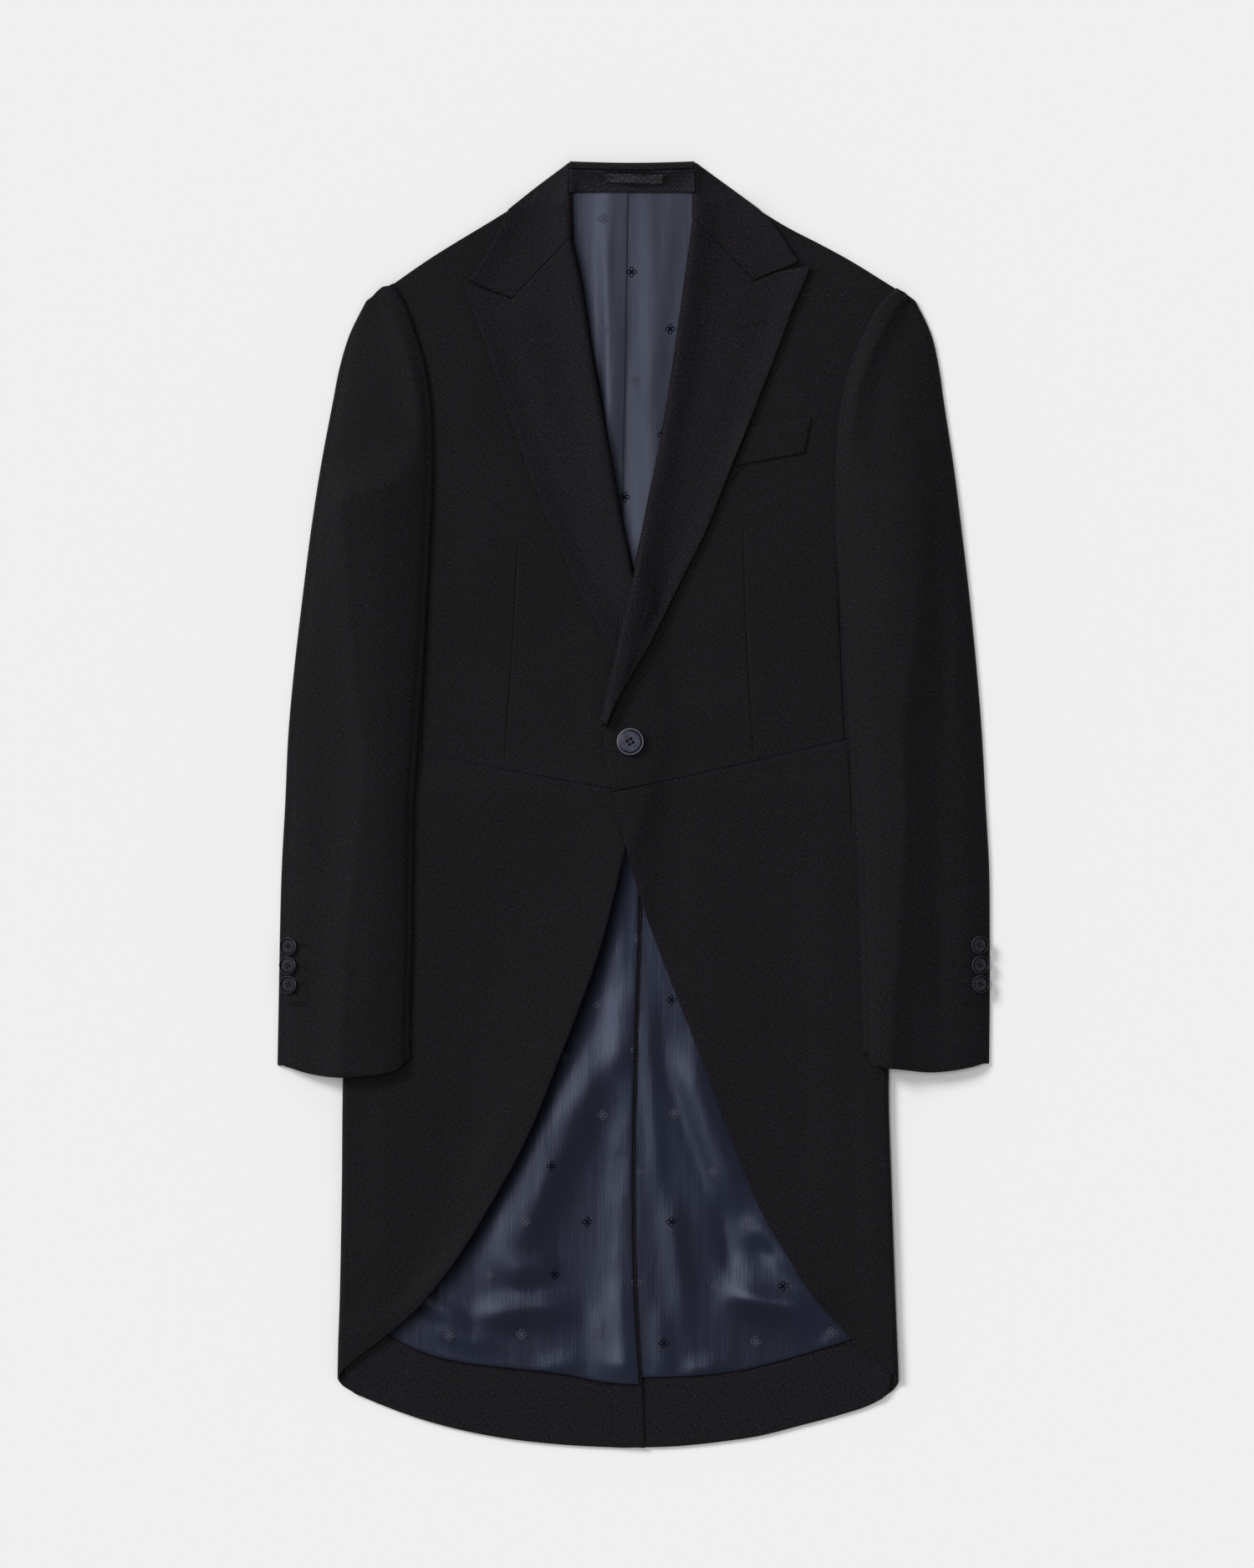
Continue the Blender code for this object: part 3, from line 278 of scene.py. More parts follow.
NECK_CREASES = creases(
    (-26, 505, -19, 270, 5.5, 1.1), (-40, 470, -27, 330, 5.0, -0.7),
    (15, 505, 9, 290, 6.5, 1.0, 2.0), (31, 495, 17, 330, 5.0, 0.8),
    (-13, 430, -15, 215, 4.0, 0.7), (2, 380, -2, 215, 4.5, 0.6),
    (40, 500, 36, 420, 4.0, -0.5), (-33, 400, -20, 240, 3.5, 0.6),
    (22, 330, 10, 190, 12, 1.9),
)
TAIL_CREASES = creases(
    (-16, -56, -152, -378, 11, 3.0, 13.0), (-12, -160, -14, -222, 9, 1.2),
    (-20, -206, -112, -398, 18, 2.9, -5.0), (-52, -262, -104, -372, 6, -0.7, -4.0),
    (-128, -430, -52, -421, 11, 2.4, 3.0), (-104, -396, -66, -384, 13, 1.9),
    (-76, -472, -46, -467, 5, 1.4), (-14, -470, -3, -470, 4, 1.2),
    (-29, -425, -24, -480, 4.0, 1.2), (-12, -400, -8, -482, 4.5, 1.1),
    (-182, -412, -140, -436, 8, 1.8), (-165, -440, -120, -455, 6, 1.3),
    (46, -205, 88, -336, 14, 2.3, -3.0), (24, -212, 64, -328, 5, -1.0),
    (73, -332, 82, -392, 5, -1.6), (97, -348, 142, -396, 10, 2.1),
    (84, -411, 148, -420, 8, 2.4, -4.0), (80, -405, 170, -427, 20, 2.4),
    (44, -474, 74, -471, 5, 1.4), (158, -451, 178, -446, 4, 1.6),
    (10, -160, 22, -330, 6, 1.0), (30, -330, 44, -440, 9, 1.3),
    (22, -425, 26, -480, 5, 1.0), (100, -368, 118, -380, 6, -1.2),
)
FRONT_CREASES = {
    Side.RIGHT: creases(
        (-120, 400, -150, 300, 26, 1.1), (-60, 170, -150, 215, 24, 0.8, 6.0),
        (-20, 40, -120, 95, 22, 0.9), (-60, -40, -120, -300, 30, 1.1, 8.0),
        (-175, -60, -190, -380, 24, 1.0), (-150, 330, -165, 120, 16, -0.7),
        (-130, -120, -150, -330, 18, -0.6), (-205, -200, -212, -440, 14, 0.8),
    ),
    Side.LEFT: creases(
        (118, 400, 150, 300, 24, 1.0), (62, 150, 150, 200, 26, 0.9, -5.0),
        (15, 60, 118, 90, 20, 0.8), (45, -25, 105, -240, 30, 1.2, -8.0),
        (165, -40, 178, -390, 26, 1.1), (158, 300, 166, 110, 14, -0.7),
        (120, -60, 140, -300, 18, -0.7), (196, -180, 200, -430, 13, 0.8),
    ),
}
LAPEL_CREASES = {
    Side.RIGHT: creases((-92, 410, -40, 230, 16, 0.7), (-70, 330, -30, 190, 9, -0.3)),
    Side.LEFT: creases((92, 415, 38, 210, 16, 0.7), (66, 330, 20, 170, 9, -0.3)),
}
SLEEVE_CREASES = {
    Side.RIGHT: creases(
        (-234, 395, -262, 90, 18, 1.3, -4.0), (-205, 330, -215, -40, 20, 0.5),
        (-222, 250, -236, -60, 12, -0.4), (-272, 20, -278, -190, 13, 1.2),
        (-205, 30, -225, -200, 14, 0.9, 3.0), (-292, -52, -262, -72, 6, -1.1),
        (-190, 120, -230, 95, 10, -0.5, 2.0), (-246, -90, -250, -215, 10, 0.7),
    ),
    Side.LEFT: creases(
        (222, 390, 214, 120, 18, 1.2, 4.0), (246, 330, 262, 20, 10, -1.1, 3.0),
        (268, 180, 280, -150, 10, 0.9), (232, 110, 238, -190, 15, 1.0),
        (252, -10, 258, -215, 7, -0.9), (204, 60, 212, -180, 10, 0.5),
        (190, 300, 196, 150, 9, 0.6), (292, -60, 262, -78, 6, -0.8),
    ),
}


def smooth(value: Array | float) -> Array:
    """Eases from 0 to 1 as value goes from 0 to 1."""
    t = np.clip(value, 0.0, 1.0)
    return t * t * (3 - 2 * t)


def run(points: Points, steps: int) -> Array:
    """Points at even spacing along a smooth line.

    Args:
        points: the line's own points.
        steps: how many steps it is parted into.

    Returns:
        An array of steps + 1 points.
    """
    p = np.array(points, float)
    if len(p) == 2:
        return p[0] + (p[1] - p[0]) * np.linspace(0, 1, steps + 1)[:, None]
    chord = np.concatenate([[0], np.cumsum(np.linalg.norm(np.diff(p, axis=0), axis=1))])
    slope = np.gradient(p, chord, axis=0)
    dense = []
    for k in range(len(p) - 1):
        h = chord[k + 1] - chord[k]
        t = np.linspace(0, 1, 25)[:, None]
        dense.append((2 * t**3 - 3 * t**2 + 1) * p[k] + (t**3 - 2 * t**2 + t) * h * slope[k]
                     + (3 * t**2 - 2 * t**3) * p[k + 1] + (t**3 - t**2) * h * slope[k + 1])
    line = np.concatenate(dense)
    way = np.concatenate([[0], np.cumsum(np.linalg.norm(np.diff(line, axis=0), axis=1))])
    at = np.linspace(0, way[-1], steps + 1)
    return np.column_stack([np.interp(at, way, line[:, 0]), np.interp(at, way, line[:, 1])])


def joined(*runs: Array) -> Array:
    """Runs end to end as one line, without the repeated corner points."""
    return np.concatenate([runs[0]] + [r[1:] for r in runs[1:]])


def patch(inner: Array, outer: Array, top: Array, bottom: Array) -> Array:
    """A grid of points between four edges.

    Args:
        inner: the first column, from top to bottom.
        outer: the last column.
        top: the first row, from inner to outer.
        bottom: the last row.

    Returns:
        An array of rows by columns by 2.
    """
    rows, cols = len(inner) - 1, len(top) - 1
    v = np.linspace(0, 1, rows + 1)[:, None, None]
    u = np.linspace(0, 1, cols + 1)[None, :, None]
    across = (1 - u) * inner[:, None] + u * outer[:, None]
    down = (1 - v) * top[None] + v * bottom[None]
    corners = ((1 - v) * ((1 - u) * inner[0] + u * outer[0])
               + v * ((1 - u) * inner[-1] + u * outer[-1]))
    return across + down - corners


def level(grid: Array, z: Array | float) -> Array:
    """Gives a plan grid its heights."""
    return np.dstack([grid, np.broadcast_to(z, grid.shape[:2])])


def distance_to(grid: Array, line: Array) -> Array:
    """Distance in plan of each grid point to a line.

    Args:
        grid: a grid of points.
        line: the line's own points.

    Returns:
        A distance for each point of the grid.
    """
    best = np.full(grid.shape[:2], 1e9)
    for a, b in zip(line[:-1], line[1:]):
        along = b - a
        t = np.clip(((grid[..., :2] - a) @ along) / max(along @ along, 1e-9), 0, 1)
        near = a + t[..., None] * along
        best = np.minimum(best, np.linalg.norm(grid[..., :2] - near, axis=-1))
    return best


def creased(grid: Array, creases: Sequence[Crease]) -> Array:
    """Height that the creases add at each point, each fading towards its ends.

    Args:
        grid: a grid of points.
        creases: the ridges and troughs.

    Returns:
        A height for each point of the grid.
    """
    height = np.zeros(grid.shape[:2])
    for c in creases:
        a, b = np.array([c.x0, c.y0]), np.array([c.x1, c.y1])
        along = b - a
        t = ((grid[..., :2] - a) @ along) / (along @ along)
        normal = np.array([-along[1], along[0]]) / np.linalg.norm(along)
        side = (grid[..., :2] - a) @ normal - c.bow * np.sin(np.pi * np.clip(t, 0, 1))
        fade = smooth((t + 0.15) / 0.4) * smooth((1.15 - t) / 0.4)
        height += c.depth * np.exp(-(side / c.width) ** 2) * fade
    return height


@dataclass
class HeightMap:
    """The highest cloth laid so far, over a square grid of the table, in millimetres."""

    step: float = 1.5
    low: tuple[float, float] = (-309.0, -551.0)
    shape: tuple[int, int] = (735, 412)
    z: Array = field(init=False)

    def __post_init__(self) -> None:
        """Starts with the bare table."""
        self.z = np.zeros(self.shape)

    def places(self, xy: Array) -> tuple[Array, Array]:
        """Finds the map's own cells.

        Args:
            xy: places in plan.

        Returns:
            The rows and the columns of the cells.
        """
        at = np.round((xy[..., :2] - self.low) / self.step).astype(int)
        rows = np.clip(at[..., 1], 0, self.z.shape[0] - 1)
        return rows, np.clip(at[..., 0], 0, self.z.shape[1] - 1)

    def add(self, points: Array) -> None:
        """Lays a grid of points on the map, by samples all over its cells.

        Args:
            points: the grid, in space.
        """
        a, b, c, d = points[:-1, :-1], points[:-1, 1:], points[1:, :-1], points[1:, 1:]
        longest = max(np.linalg.norm((q - p)[..., :2], axis=-1).max() for p, q in ((a, b), (a, c)))
        shares = np.linspace(0, 1, int(longest / self.step * 1.3) + 2)
        for u in shares:
            for v in shares:
                p = (1 - v) * ((1 - u) * a + u * b) + v * ((1 - u) * c + u * d)
                np.maximum.at(self.z, self.places(p), p[..., 2])

    def widened(self, reach: float) -> Array:
        """The map with each height spread to its neighbours.

        Args:
            reach: how far it is spread, in millimetres.

        Returns:
            The heights of the whole map.
        """
        z = self.z
        for _ in range(max(1, round(reach / self.step))):
            p = np.pad(z, 1, mode="edge")
            z = np.maximum.reduce([p[i:i + z.shape[0], j:j + z.shape[1]]
                                   for i in range(3) for j in range(3)])
        return z

    def top(self, x: float, y: float, radius: float) -> float:
        """The highest cloth within radius of a place."""
        rows, cols = self.places(np.array([[x - radius, y - radius], [x + radius, y + radius]]))
        return float(self.z[rows[0]:rows[1] + 1, cols[0]:cols[1] + 1].max())


def eased(z: Array) -> Array:
    """Each height half way to the mean of its four neighbours."""
    p = np.pad(z, 1, mode="edge")
    return 0.5 * z + 0.125 * (p[:-2, 1:-1] + p[2:, 1:-1] + p[1:-1, :-2] + p[1:-1, 2:])


def drape(grids: Sequence[Array], table: HeightMap, creases: Sequence[Crease] = (),
          reach: float = 4.5, turns: int = 24) -> None:
    """Settles grids that are sewn together on all that is below, softly over each step.

    Args:
        grids: grids of points in space; their heights are the lowest that they may take.
        table: what lies below.
        creases: soft ridges and troughs of this cloth.
        reach: how far around each point the cloth below is cleared, in millimetres.
        turns: how often the heights are eased.
    """
    below = table.widened(reach)
    heights = [below[table.places(g)] for g in grids]
    needs = [np.where(h > 0.01, h + WALL.gap, 0.0) for h in heights]
    floors = [np.maximum(n, g[..., 2]) for n, g in zip(needs, grids)]
    z = [f.copy() for f in floors]
    plan = np.round(np.concatenate([g[..., :2].reshape(-1, 2) for g in grids]), 1)
    _, shared = np.unique(plan, axis=0, return_inverse=True)
    shared = shared.reshape(-1)
    ends = np.cumsum([g.shape[0] * g.shape[1] for g in grids])[:-1]
    for turn in range(turns + 3):
        if turn == turns:
            z = [np.maximum(n, h + creased(g, creases)) for n, h, g in zip(needs, z, grids)]
            floors = needs
        z = [np.maximum(f, eased(h)) for f, h in zip(floors, z)]
        flat = np.concatenate([h.reshape(-1) for h in z])
        highest = np.full(shared.max() + 1, -1e9)
        np.maximum.at(highest, shared, flat)
        z = [part.reshape(g.shape[:2]) for part, g in zip(np.split(highest[shared], ends), grids)]
    for grid, height in zip(grids, z):
        grid[..., 2] = height


def rounded_border(under: Array, way: Array) -> tuple[Array, Array]:
    """Adds rows close to the border of a cloth and thins it there, so that its edge is round.

    Args:
        under: grid of points on one face.
        way: from each point to the other face.

    Returns:
        The finer grid and its ways.
    """
    lift = {0: 0.24, 1: 0.07, 2: 0.0}
    shares = {0: 0.5, 1: 0.86, 2: 1.0}
    for axis in (0, 1):
        points, ways = (np.moveaxis(a, axis, 0) for a in (under, way))
        for _ in range(2):
            spacing = np.linalg.norm(points[1] - points[0], axis=-1)[:, None]
            news, new_ways = [points[0]], [ways[0]]
            for away in (0.45, 1.3):
                t = np.minimum(away / np.maximum(spacing, 1e-6), 0.3 + away * 0.2)
                news.append(points[0] + t * (points[1] - points[0]))
                new_ways.append(ways[0] + t * (ways[1] - ways[0]))
            points = np.concatenate([np.stack(news), points[1:]])[::-1]
            ways = np.concatenate([np.stack(new_ways), ways[1:]])[::-1]
        under, way = np.moveaxis(points, 0, axis), np.moveaxis(ways, 0, axis)
    rows, cols = under.shape[:2]
    i, j = np.meshgrid(np.arange(rows), np.arange(cols), indexing="ij")
    depth = np.minimum(np.minimum(i, rows - 1 - i), np.minimum(j, cols - 1 - j)).clip(0, 2)
    raised = np.vectorize(lift.get)(depth)[..., None]
    thin = np.vectorize(shares.get)(depth)[..., None]
    return under + way * raised, way * thin


def inset(grid: Array, by: float = WALL.seam) -> Array:
    """Moves the grid's border points inwards, which parts neighbours at a seam.

    Args:
        grid: a grid of points.
        by: how far they move, in millimetres.

    Returns:
        The new grid.
    """
    out = grid.copy()
    for edge, within in ((np.s_[0], np.s_[1]), (np.s_[-1], np.s_[-2]),
                         (np.s_[:, 0], np.s_[:, 1]), (np.s_[:, -1], np.s_[:, -2])):
        step = grid[within] - grid[edge]
        out[edge] += by * step / np.maximum(np.linalg.norm(step, axis=-1, keepdims=True), 1e-6)
    return out


@dataclass(frozen=True)
class Placing:
    """Where the pattern's own origin lies in the frame, in millimetres."""

    x: float = -0.262
    y: float = 1.266

    def metres(self, points: Array) -> Array:
        """Pattern points in millimetres as frame points in metres."""
        return (points.reshape(-1, 3) + [self.x, self.y, 0.0]) * MM


PLACING = Placing()


@dataclass(frozen=True)
class Cut:
    """A piece's flat cloth: the rectangle that holds it, in millimetres, its share of that, and
    the frame's nodes that it lies on."""

    width: float
    length: float
    share: float
    over: tuple[str, ...] = ()

    @property
    def flat(self) -> tuple[float, float]:
        """Width and length in metres."""
        return self.width * MM, self.length * MM

    @property
    def area(self) -> float:
        """Area of the cut itself in square metres."""
        return self.width * self.length * self.share * MM * MM


CUTS: dict[str, Cut] = {
    "back_right": Cut(235, 1052, 0.85),
    "back_left": Cut(250, 1052, 0.83),
    "back_lining_left": Cut(256, 504, 0.81, ("back_left",)),
    "back_lining_right": Cut(219, 505, 0.82, ("back_right", "back_lining_left")),
    "hem_facing_left": Cut(230, 70, 0.82, ("back_left",)),
    "hem_facing_right": Cut(255, 67, 0.80, ("back_right",)),
    "vent_edge": Cut(25, 519, 0.82, ("back_left", "back_right")),
    "tail_lining_left": Cut(225, 494, 0.89, ("back_left", "hem_facing_left")),
    "tail_lining_right": Cut(237, 500, 0.91, ("back_right", "vent_edge")),
    "forepart_right": Cut(197, 502, 0.75, ("back_lining_right",)),
    "forepart_left": Cut(203, 504, 0.74, ("back_lining_left", "forepart_right")),
    "side_body_right": Cut(96, 249, 0.69, ("back_right", "back_lining_right")),
    "side_body_left": Cut(94, 237, 0.69, ("back_left", "back_lining_left")),
    "skirt_right": Cut(253, 552, 0.63, ("back_right", "tail_lining_right")),
    "skirt_left": Cut(262, 561, 0.59, ("back_left", "tail_lining_left")),
    "lapel_right": Cut(122, 345, 0.54, ("forepart_right",)),
    "lapel_left": Cut(130, 416, 0.46, ("forepart_left",)),
    "collar_leaf_right": Cut(118, 94, 0.48, ("forepart_right",)),
    "collar_leaf_left": Cut(121, 80, 0.47, ("forepart_left",)),
    "collar_back": Cut(114, 33, 0.87),
    "collar_stand": Cut(110, 20, 0.95, ("back_lining_left", "back_lining_right")),
    "breast_welt": Cut(61, 35, 0.77, ("forepart_left",)),
    "undersleeve_right": Cut(110, 658, 0.83, ("side_body_right", "forepart_right")),
    "undersleeve_left": Cut(109, 654, 0.86, ("side_body_left", "forepart_left")),
    "topsleeve_right": Cut(124, 661, 0.85, ("undersleeve_right",)),
    "topsleeve_left": Cut(123, 657, 0.87, ("undersleeve_left",)),
}


@dataclass(frozen=True)
class Shade:
    """The edge of a cloth above and how far beside it shade is painted below, in millimetres."""

    line: Array
    width: float


class Tree:
    """A node tree, with short ways to add and join nodes."""

    def __init__(self, tree: bpy.types.NodeTree) -> None:
        """Takes the tree that the nodes go into."""
        self.tree = tree

    def add(self, kind: str, **values: object) -> bpy.types.Node:
        """Adds a node.

        Args:
            kind: the node's type.
            values: its own settings.

        Returns:
            The node.
        """
        node = self.tree.nodes.new(kind)
        for name, value in values.items():
            setattr(node, name, value)
        return node

    def join(self, source: Socket, target: Socket) -> None:
        """Links two sockets."""
        self.tree.links.new(source, target)


class Nodes(Tree):
    """A material's nodes."""

    def __init__(self, name: str) -> None:
        """Starts a material.

        Args:
            name: the material's name.
        """
        self.material = bpy.data.materials.new(name)
        self.material.use_nodes = True
        super().__init__(self.material.node_tree)
        self.shader = self.tree.nodes["Principled BSDF"]

    def set(self, **values: float) -> None:
        """Sets the shader's own inputs, named with an underscore for each space."""
        for name, value in values.items():
            self.shader.inputs[name.replace("_", " ")].default_value = value

    def stretched(self, place: Socket, by: tuple[float, float, float]
                  ) -> Socket:
        """Scales a place.

        Args:
            place: the place.
            by: its scale along each axis.

        Returns:
            The scaled place.
        """
        node = self.add("ShaderNodeVectorMath", operation="MULTIPLY")
        self.join(place, node.inputs[0])
        node.inputs[1].default_value = by
        return node.outputs[0]

    def marks(self) -> bpy.types.NodeOutputs:
        """Reads the cloth's own marks.

        Returns:
            Way to its dart, how far inside the dart's ends, and the painted shade.
        """
        parts = self.add("ShaderNodeSeparateXYZ")
        read = self.add("ShaderNodeAttribute", attribute_name="dart")
        self.join(read.outputs["Vector"], parts.inputs[0])
        return parts.outputs

    def maths(self, operation: str, *values: object) -> Socket:
        """Adds a math node.

        Args:
            operation: what it works out.
            values: numbers or sockets that it works on.

        Returns:
            Its result.
        """
        node = self.add("ShaderNodeMath", operation=operation)
        for socket, value in zip(node.inputs, values):
            if isinstance(value, Socket):
                self.join(value, socket)
            else:
                socket.default_value = value
        return node.outputs[0]

    def eased(self, value: Socket, low: float, high: float, start: float,
              end: float) -> Socket:
        """Eases a value.

        Args:
            value: the value.
            low: where the easing starts.
            high: where it ends.
            start: the result at low.
            end: the result at high.

        Returns:
            The eased value.
        """
        node = self.add("ShaderNodeMapRange", interpolation_type="SMOOTHSTEP")
        self.join(value, node.inputs[0])
        for socket, number in zip(node.inputs[1:5], (low, high, start, end)):
            socket.default_value = number
        return node.outputs[0]

    def noise(self, scale: float, detail: float, place: Socket
              ) -> Socket:
        """Adds noise about 0.5.

        Args:
            scale: how fine it is.
            detail: how many finer layers it has.
            place: what it is read at.

        Returns:
            The noise.
        """
        node = self.add("ShaderNodeTexNoise")
        node.inputs["Scale"].default_value = scale
        node.inputs["Detail"].default_value = detail
        self.join(place, node.inputs["Vector"])
        return node.outputs[0]

    def mixed(self, share: Socket, first: object, second: object
              ) -> Socket:
        """Mixes two colours.

        Args:
            share: how much of the second.
            first: a colour, or a socket of one.
            second: the other.

        Returns:
            The mixed colour.
        """
        node = self.add("ShaderNodeMix", data_type="RGBA")
        self.join(share, node.inputs[0])
        for socket, value in ((node.inputs[6], first), (node.inputs[7], second)):
            if isinstance(value, Socket):
                self.join(value, socket)
            else:
                socket.default_value = (*value, 1.0)
        return node.outputs[2]

    def bump(self, height: Socket, distance: float, strength: float) -> None:
        """Turns a height into the shader's normal.

        Args:
            height: the height.
            distance: what a height of 1 stands for, in metres.
            strength: its share, up to 1.
        """
        node = self.add("ShaderNodeBump")
        node.inputs["Strength"].default_value = strength
        node.inputs["Distance"].default_value = distance
        self.join(height, node.inputs["Height"])
        self.join(node.outputs[0], self.shader.inputs["Normal"])


@dataclass(frozen=True)
class Wool:
    """Closely woven black twill with a little nap."""

    name: str
    colour: tuple[float, float, float]
    roughness: float = 0.7
    specular: float = 0.12
    sheen: float = 0.02
    rib: float = 900.0

    def make(self) -> Material:
        """Builds the finish.

        Returns:
            Its material.
        """
        n = Nodes(self.name)
        cloth = n.add("ShaderNodeUVMap", uv_map="cloth").outputs[0]
        place = n.add("ShaderNodeTexCoord").outputs["Object"]
        twill = n.add("ShaderNodeTexWave", bands_direction="DIAGONAL")
        twill.inputs["Scale"].default_value = self.rib / 4
        twill.inputs["Distortion"].default_value = 0.6
        twill.inputs["Detail Scale"].default_value = 3.0
        n.join(cloth, twill.inputs["Vector"])
        nap = n.noise(1500.0, 3.0, cloth)
        wear = n.noise(9.0, 3.0, place)
        slubs = []
        for stretch in ((420.0, 1300.0, 1.0), (1300.0, 420.0, 1.0)):
            slubs.append(n.noise(1.0, 2.0, n.stretched(cloth, stretch)))
        slub = n.maths("ADD", slubs[0], slubs[1])
        across, inside, _ = n.marks()
        away = n.maths("ABSOLUTE", across)
        # the dart seam's groove: a dent in the bump, and painted shade that darkens the cloth in it
        groove = n.maths("MULTIPLY", n.eased(away, 0.0, 1.6, 1.0, 0.0), inside)
        low = tuple(0.86 * c for c in self.colour)
        high = tuple(1.16 * c for c in self.colour)
        base = n.mixed(n.eased(wear, 0.36, 0.64, 0.0, 1.0), low, high)
        fleck = n.mixed(n.eased(slub, 0.82, 1.22, 0.0, 1.0), tuple(0.35 * c for c in self.colour),
                        n.mixed(n.eased(slub, 1.0, 1.35, 0.0, 1.0), base,
                                tuple(3.2 * c for c in self.colour)))
        # painted shade in the dart seam's groove
        dark = n.mixed(n.maths("MULTIPLY", groove, 0.55), fleck, (0.002, 0.002, 0.0025))
        n.join(dark, n.shader.inputs["Base Color"])
        n.set(Roughness=self.roughness, Specular_IOR_Level=self.specular, Sheen_Weight=self.sheen,
              Sheen_Roughness=0.5, Sheen_Tint=(0.85, 0.86, 1.0, 1.0))
        weave = n.maths("ADD", n.maths("MULTIPLY", twill.outputs["Fac"], 0.6),
                        n.maths("ADD", n.maths("MULTIPLY", nap, 0.4), slub))
        n.bump(n.maths("SUBTRACT", weave, n.maths("MULTIPLY", groove, 3.0)), 0.00022, 0.8)
        return n.material


@dataclass(frozen=True)
class Satin:
    """Navy satin, small woven sprigs in half-drop rows, painted shade beside a cloth above."""

    name: str
    colour: tuple[float, float, float]
    sprig: tuple[float, float, float] = (0.0012, 0.0014, 0.003)
    glint: tuple[float, float, float] = (0.031, 0.035, 0.048)
    roughness: float = 0.22
    specular: float = 0.31
    # how dark the painted shade beside the edge of a cloth above gets
    shade: float = 0.88
    across: float = 0.064
    along: float = 0.047

    def from_middle(self, n: Nodes, count: Socket, middle: Socket,
                    size: float) -> Socket:
        """Distance in millimetres from a repeat's middle, given the count of repeats so far."""
        share = n.maths("SUBTRACT", n.maths("FRACT", count), middle)
        return n.maths("ABSOLUTE", n.maths("MULTIPLY", share, size / MM))

    def make(self) -> Material:
        """Builds the finish.

        Returns:
            Its material.
        """
        n = Nodes(self.name)
        cloth = n.add("ShaderNodeUVMap", uv_map="cloth").outputs[0]
        place = n.add("ShaderNodeTexCoord").outputs["Object"]
        parts = n.add("ShaderNodeSeparateXYZ")
        n.join(cloth, parts.inputs[0])
        row = n.maths("DIVIDE", parts.outputs[1], self.along)
        odd = n.maths("MULTIPLY", n.maths("FLOORED_MODULO", n.maths("FLOOR", row), 2.0), 0.5)
        column = n.maths("ADD", n.maths("DIVIDE", parts.outputs[0], self.across), odd)
        cell = n.add("ShaderNodeCombineXYZ")
        n.join(n.maths("FLOOR", column), cell.inputs[0])
        n.join(n.maths("FLOOR", row), cell.inputs[1])
        chance = n.add("ShaderNodeTexWhiteNoise", noise_dimensions="2D")
        n.join(cell.outputs[0], chance.inputs["Vector"])
        strayed = n.add("ShaderNodeSeparateColor")
        n.join(chance.outputs["Color"], strayed.inputs[0])
        x, y = (self.from_middle(n, count, n.maths("ADD", 0.38, n.maths("MULTIPLY", stray, 0.24)), size)
                for count, stray, size in ((column, strayed.outputs[0], self.across),
                                           (row, strayed.outputs[1], self.along)))
        petals = []
        for px, py, size in ((2.5, 0.0, 1.5), (0.0, 2.5, 1.5), (0.0, 0.0, 0.6)):
            dx, dy = n.maths("SUBTRACT", x, px), n.maths("SUBTRACT", y, py)
            length = n.maths("SQRT", n.maths("ADD", n.maths("MULTIPLY", dx, dx),
                                             n.maths("MULTIPLY", dy, dy)))
            petals.append(n.maths("SUBTRACT", length, size))
        nearest = n.maths("MINIMUM", n.maths("MINIMUM", petals[0], petals[1]), petals[2])
        motif = n.eased(n.maths("ABSOLUTE", nearest), 0.26, 0.56, 1.0, 0.0)
        light = n.maths("GREATER_THAN", chance.outputs["Value"], 0.5)
        thread = n.add("ShaderNodeTexWave", bands_direction="X")
        thread.inputs["Scale"].default_value = 350.0
        n.join(cloth, thread.inputs["Vector"])
        shade = n.eased(n.noise(7.0, 3.0, place), 0.35, 0.65, 0.0, 1.0)
        ground = n.mixed(shade, tuple(0.85 * c for c in self.colour),
                         tuple(1.12 * c for c in self.colour))
        sprig = n.mixed(light, self.sprig, self.glint)
        # painted shade: towards the edge of a cloth above, the satin turns nearly black and loses its
        # shine
        lit = n.maths("SUBTRACT", 1.0, n.maths("MULTIPLY", n.marks()[2], self.shade))
        n.join(n.mixed(lit, (0.0004, 0.0004, 0.0006), n.mixed(motif, ground, sprig)),
               n.shader.inputs["Base Color"])
        rough = n.maths("ADD", n.maths("MULTIPLY", motif, 0.2), self.roughness)
        n.join(rough, n.shader.inputs["Roughness"])
        dulled = n.maths("MULTIPLY", motif, n.maths("SUBTRACT", 0.9, n.maths("MULTIPLY", light, 0.7)))
        shine = n.maths("MULTIPLY", n.maths("SUBTRACT", 1.0, dulled), self.specular)
        n.join(n.maths("MULTIPLY", shine, lit), n.shader.inputs["Specular IOR Level"])
        n.set(Specular_Tint=(0.66, 0.72, 1.0, 1.0))
        pucker = n.noise(1.0, 3.0, n.stretched(cloth, (70.0, 11.0, 1.0)))
        height = n.maths("ADD", n.maths("MULTIPLY", thread.outputs["Fac"], 0.1),
                         n.maths("MULTIPLY", motif, 0.3))
        n.bump(n.maths("ADD", height, n.maths("MULTIPLY", pucker, 1.8)), 0.0003, 0.6)
        return n.material


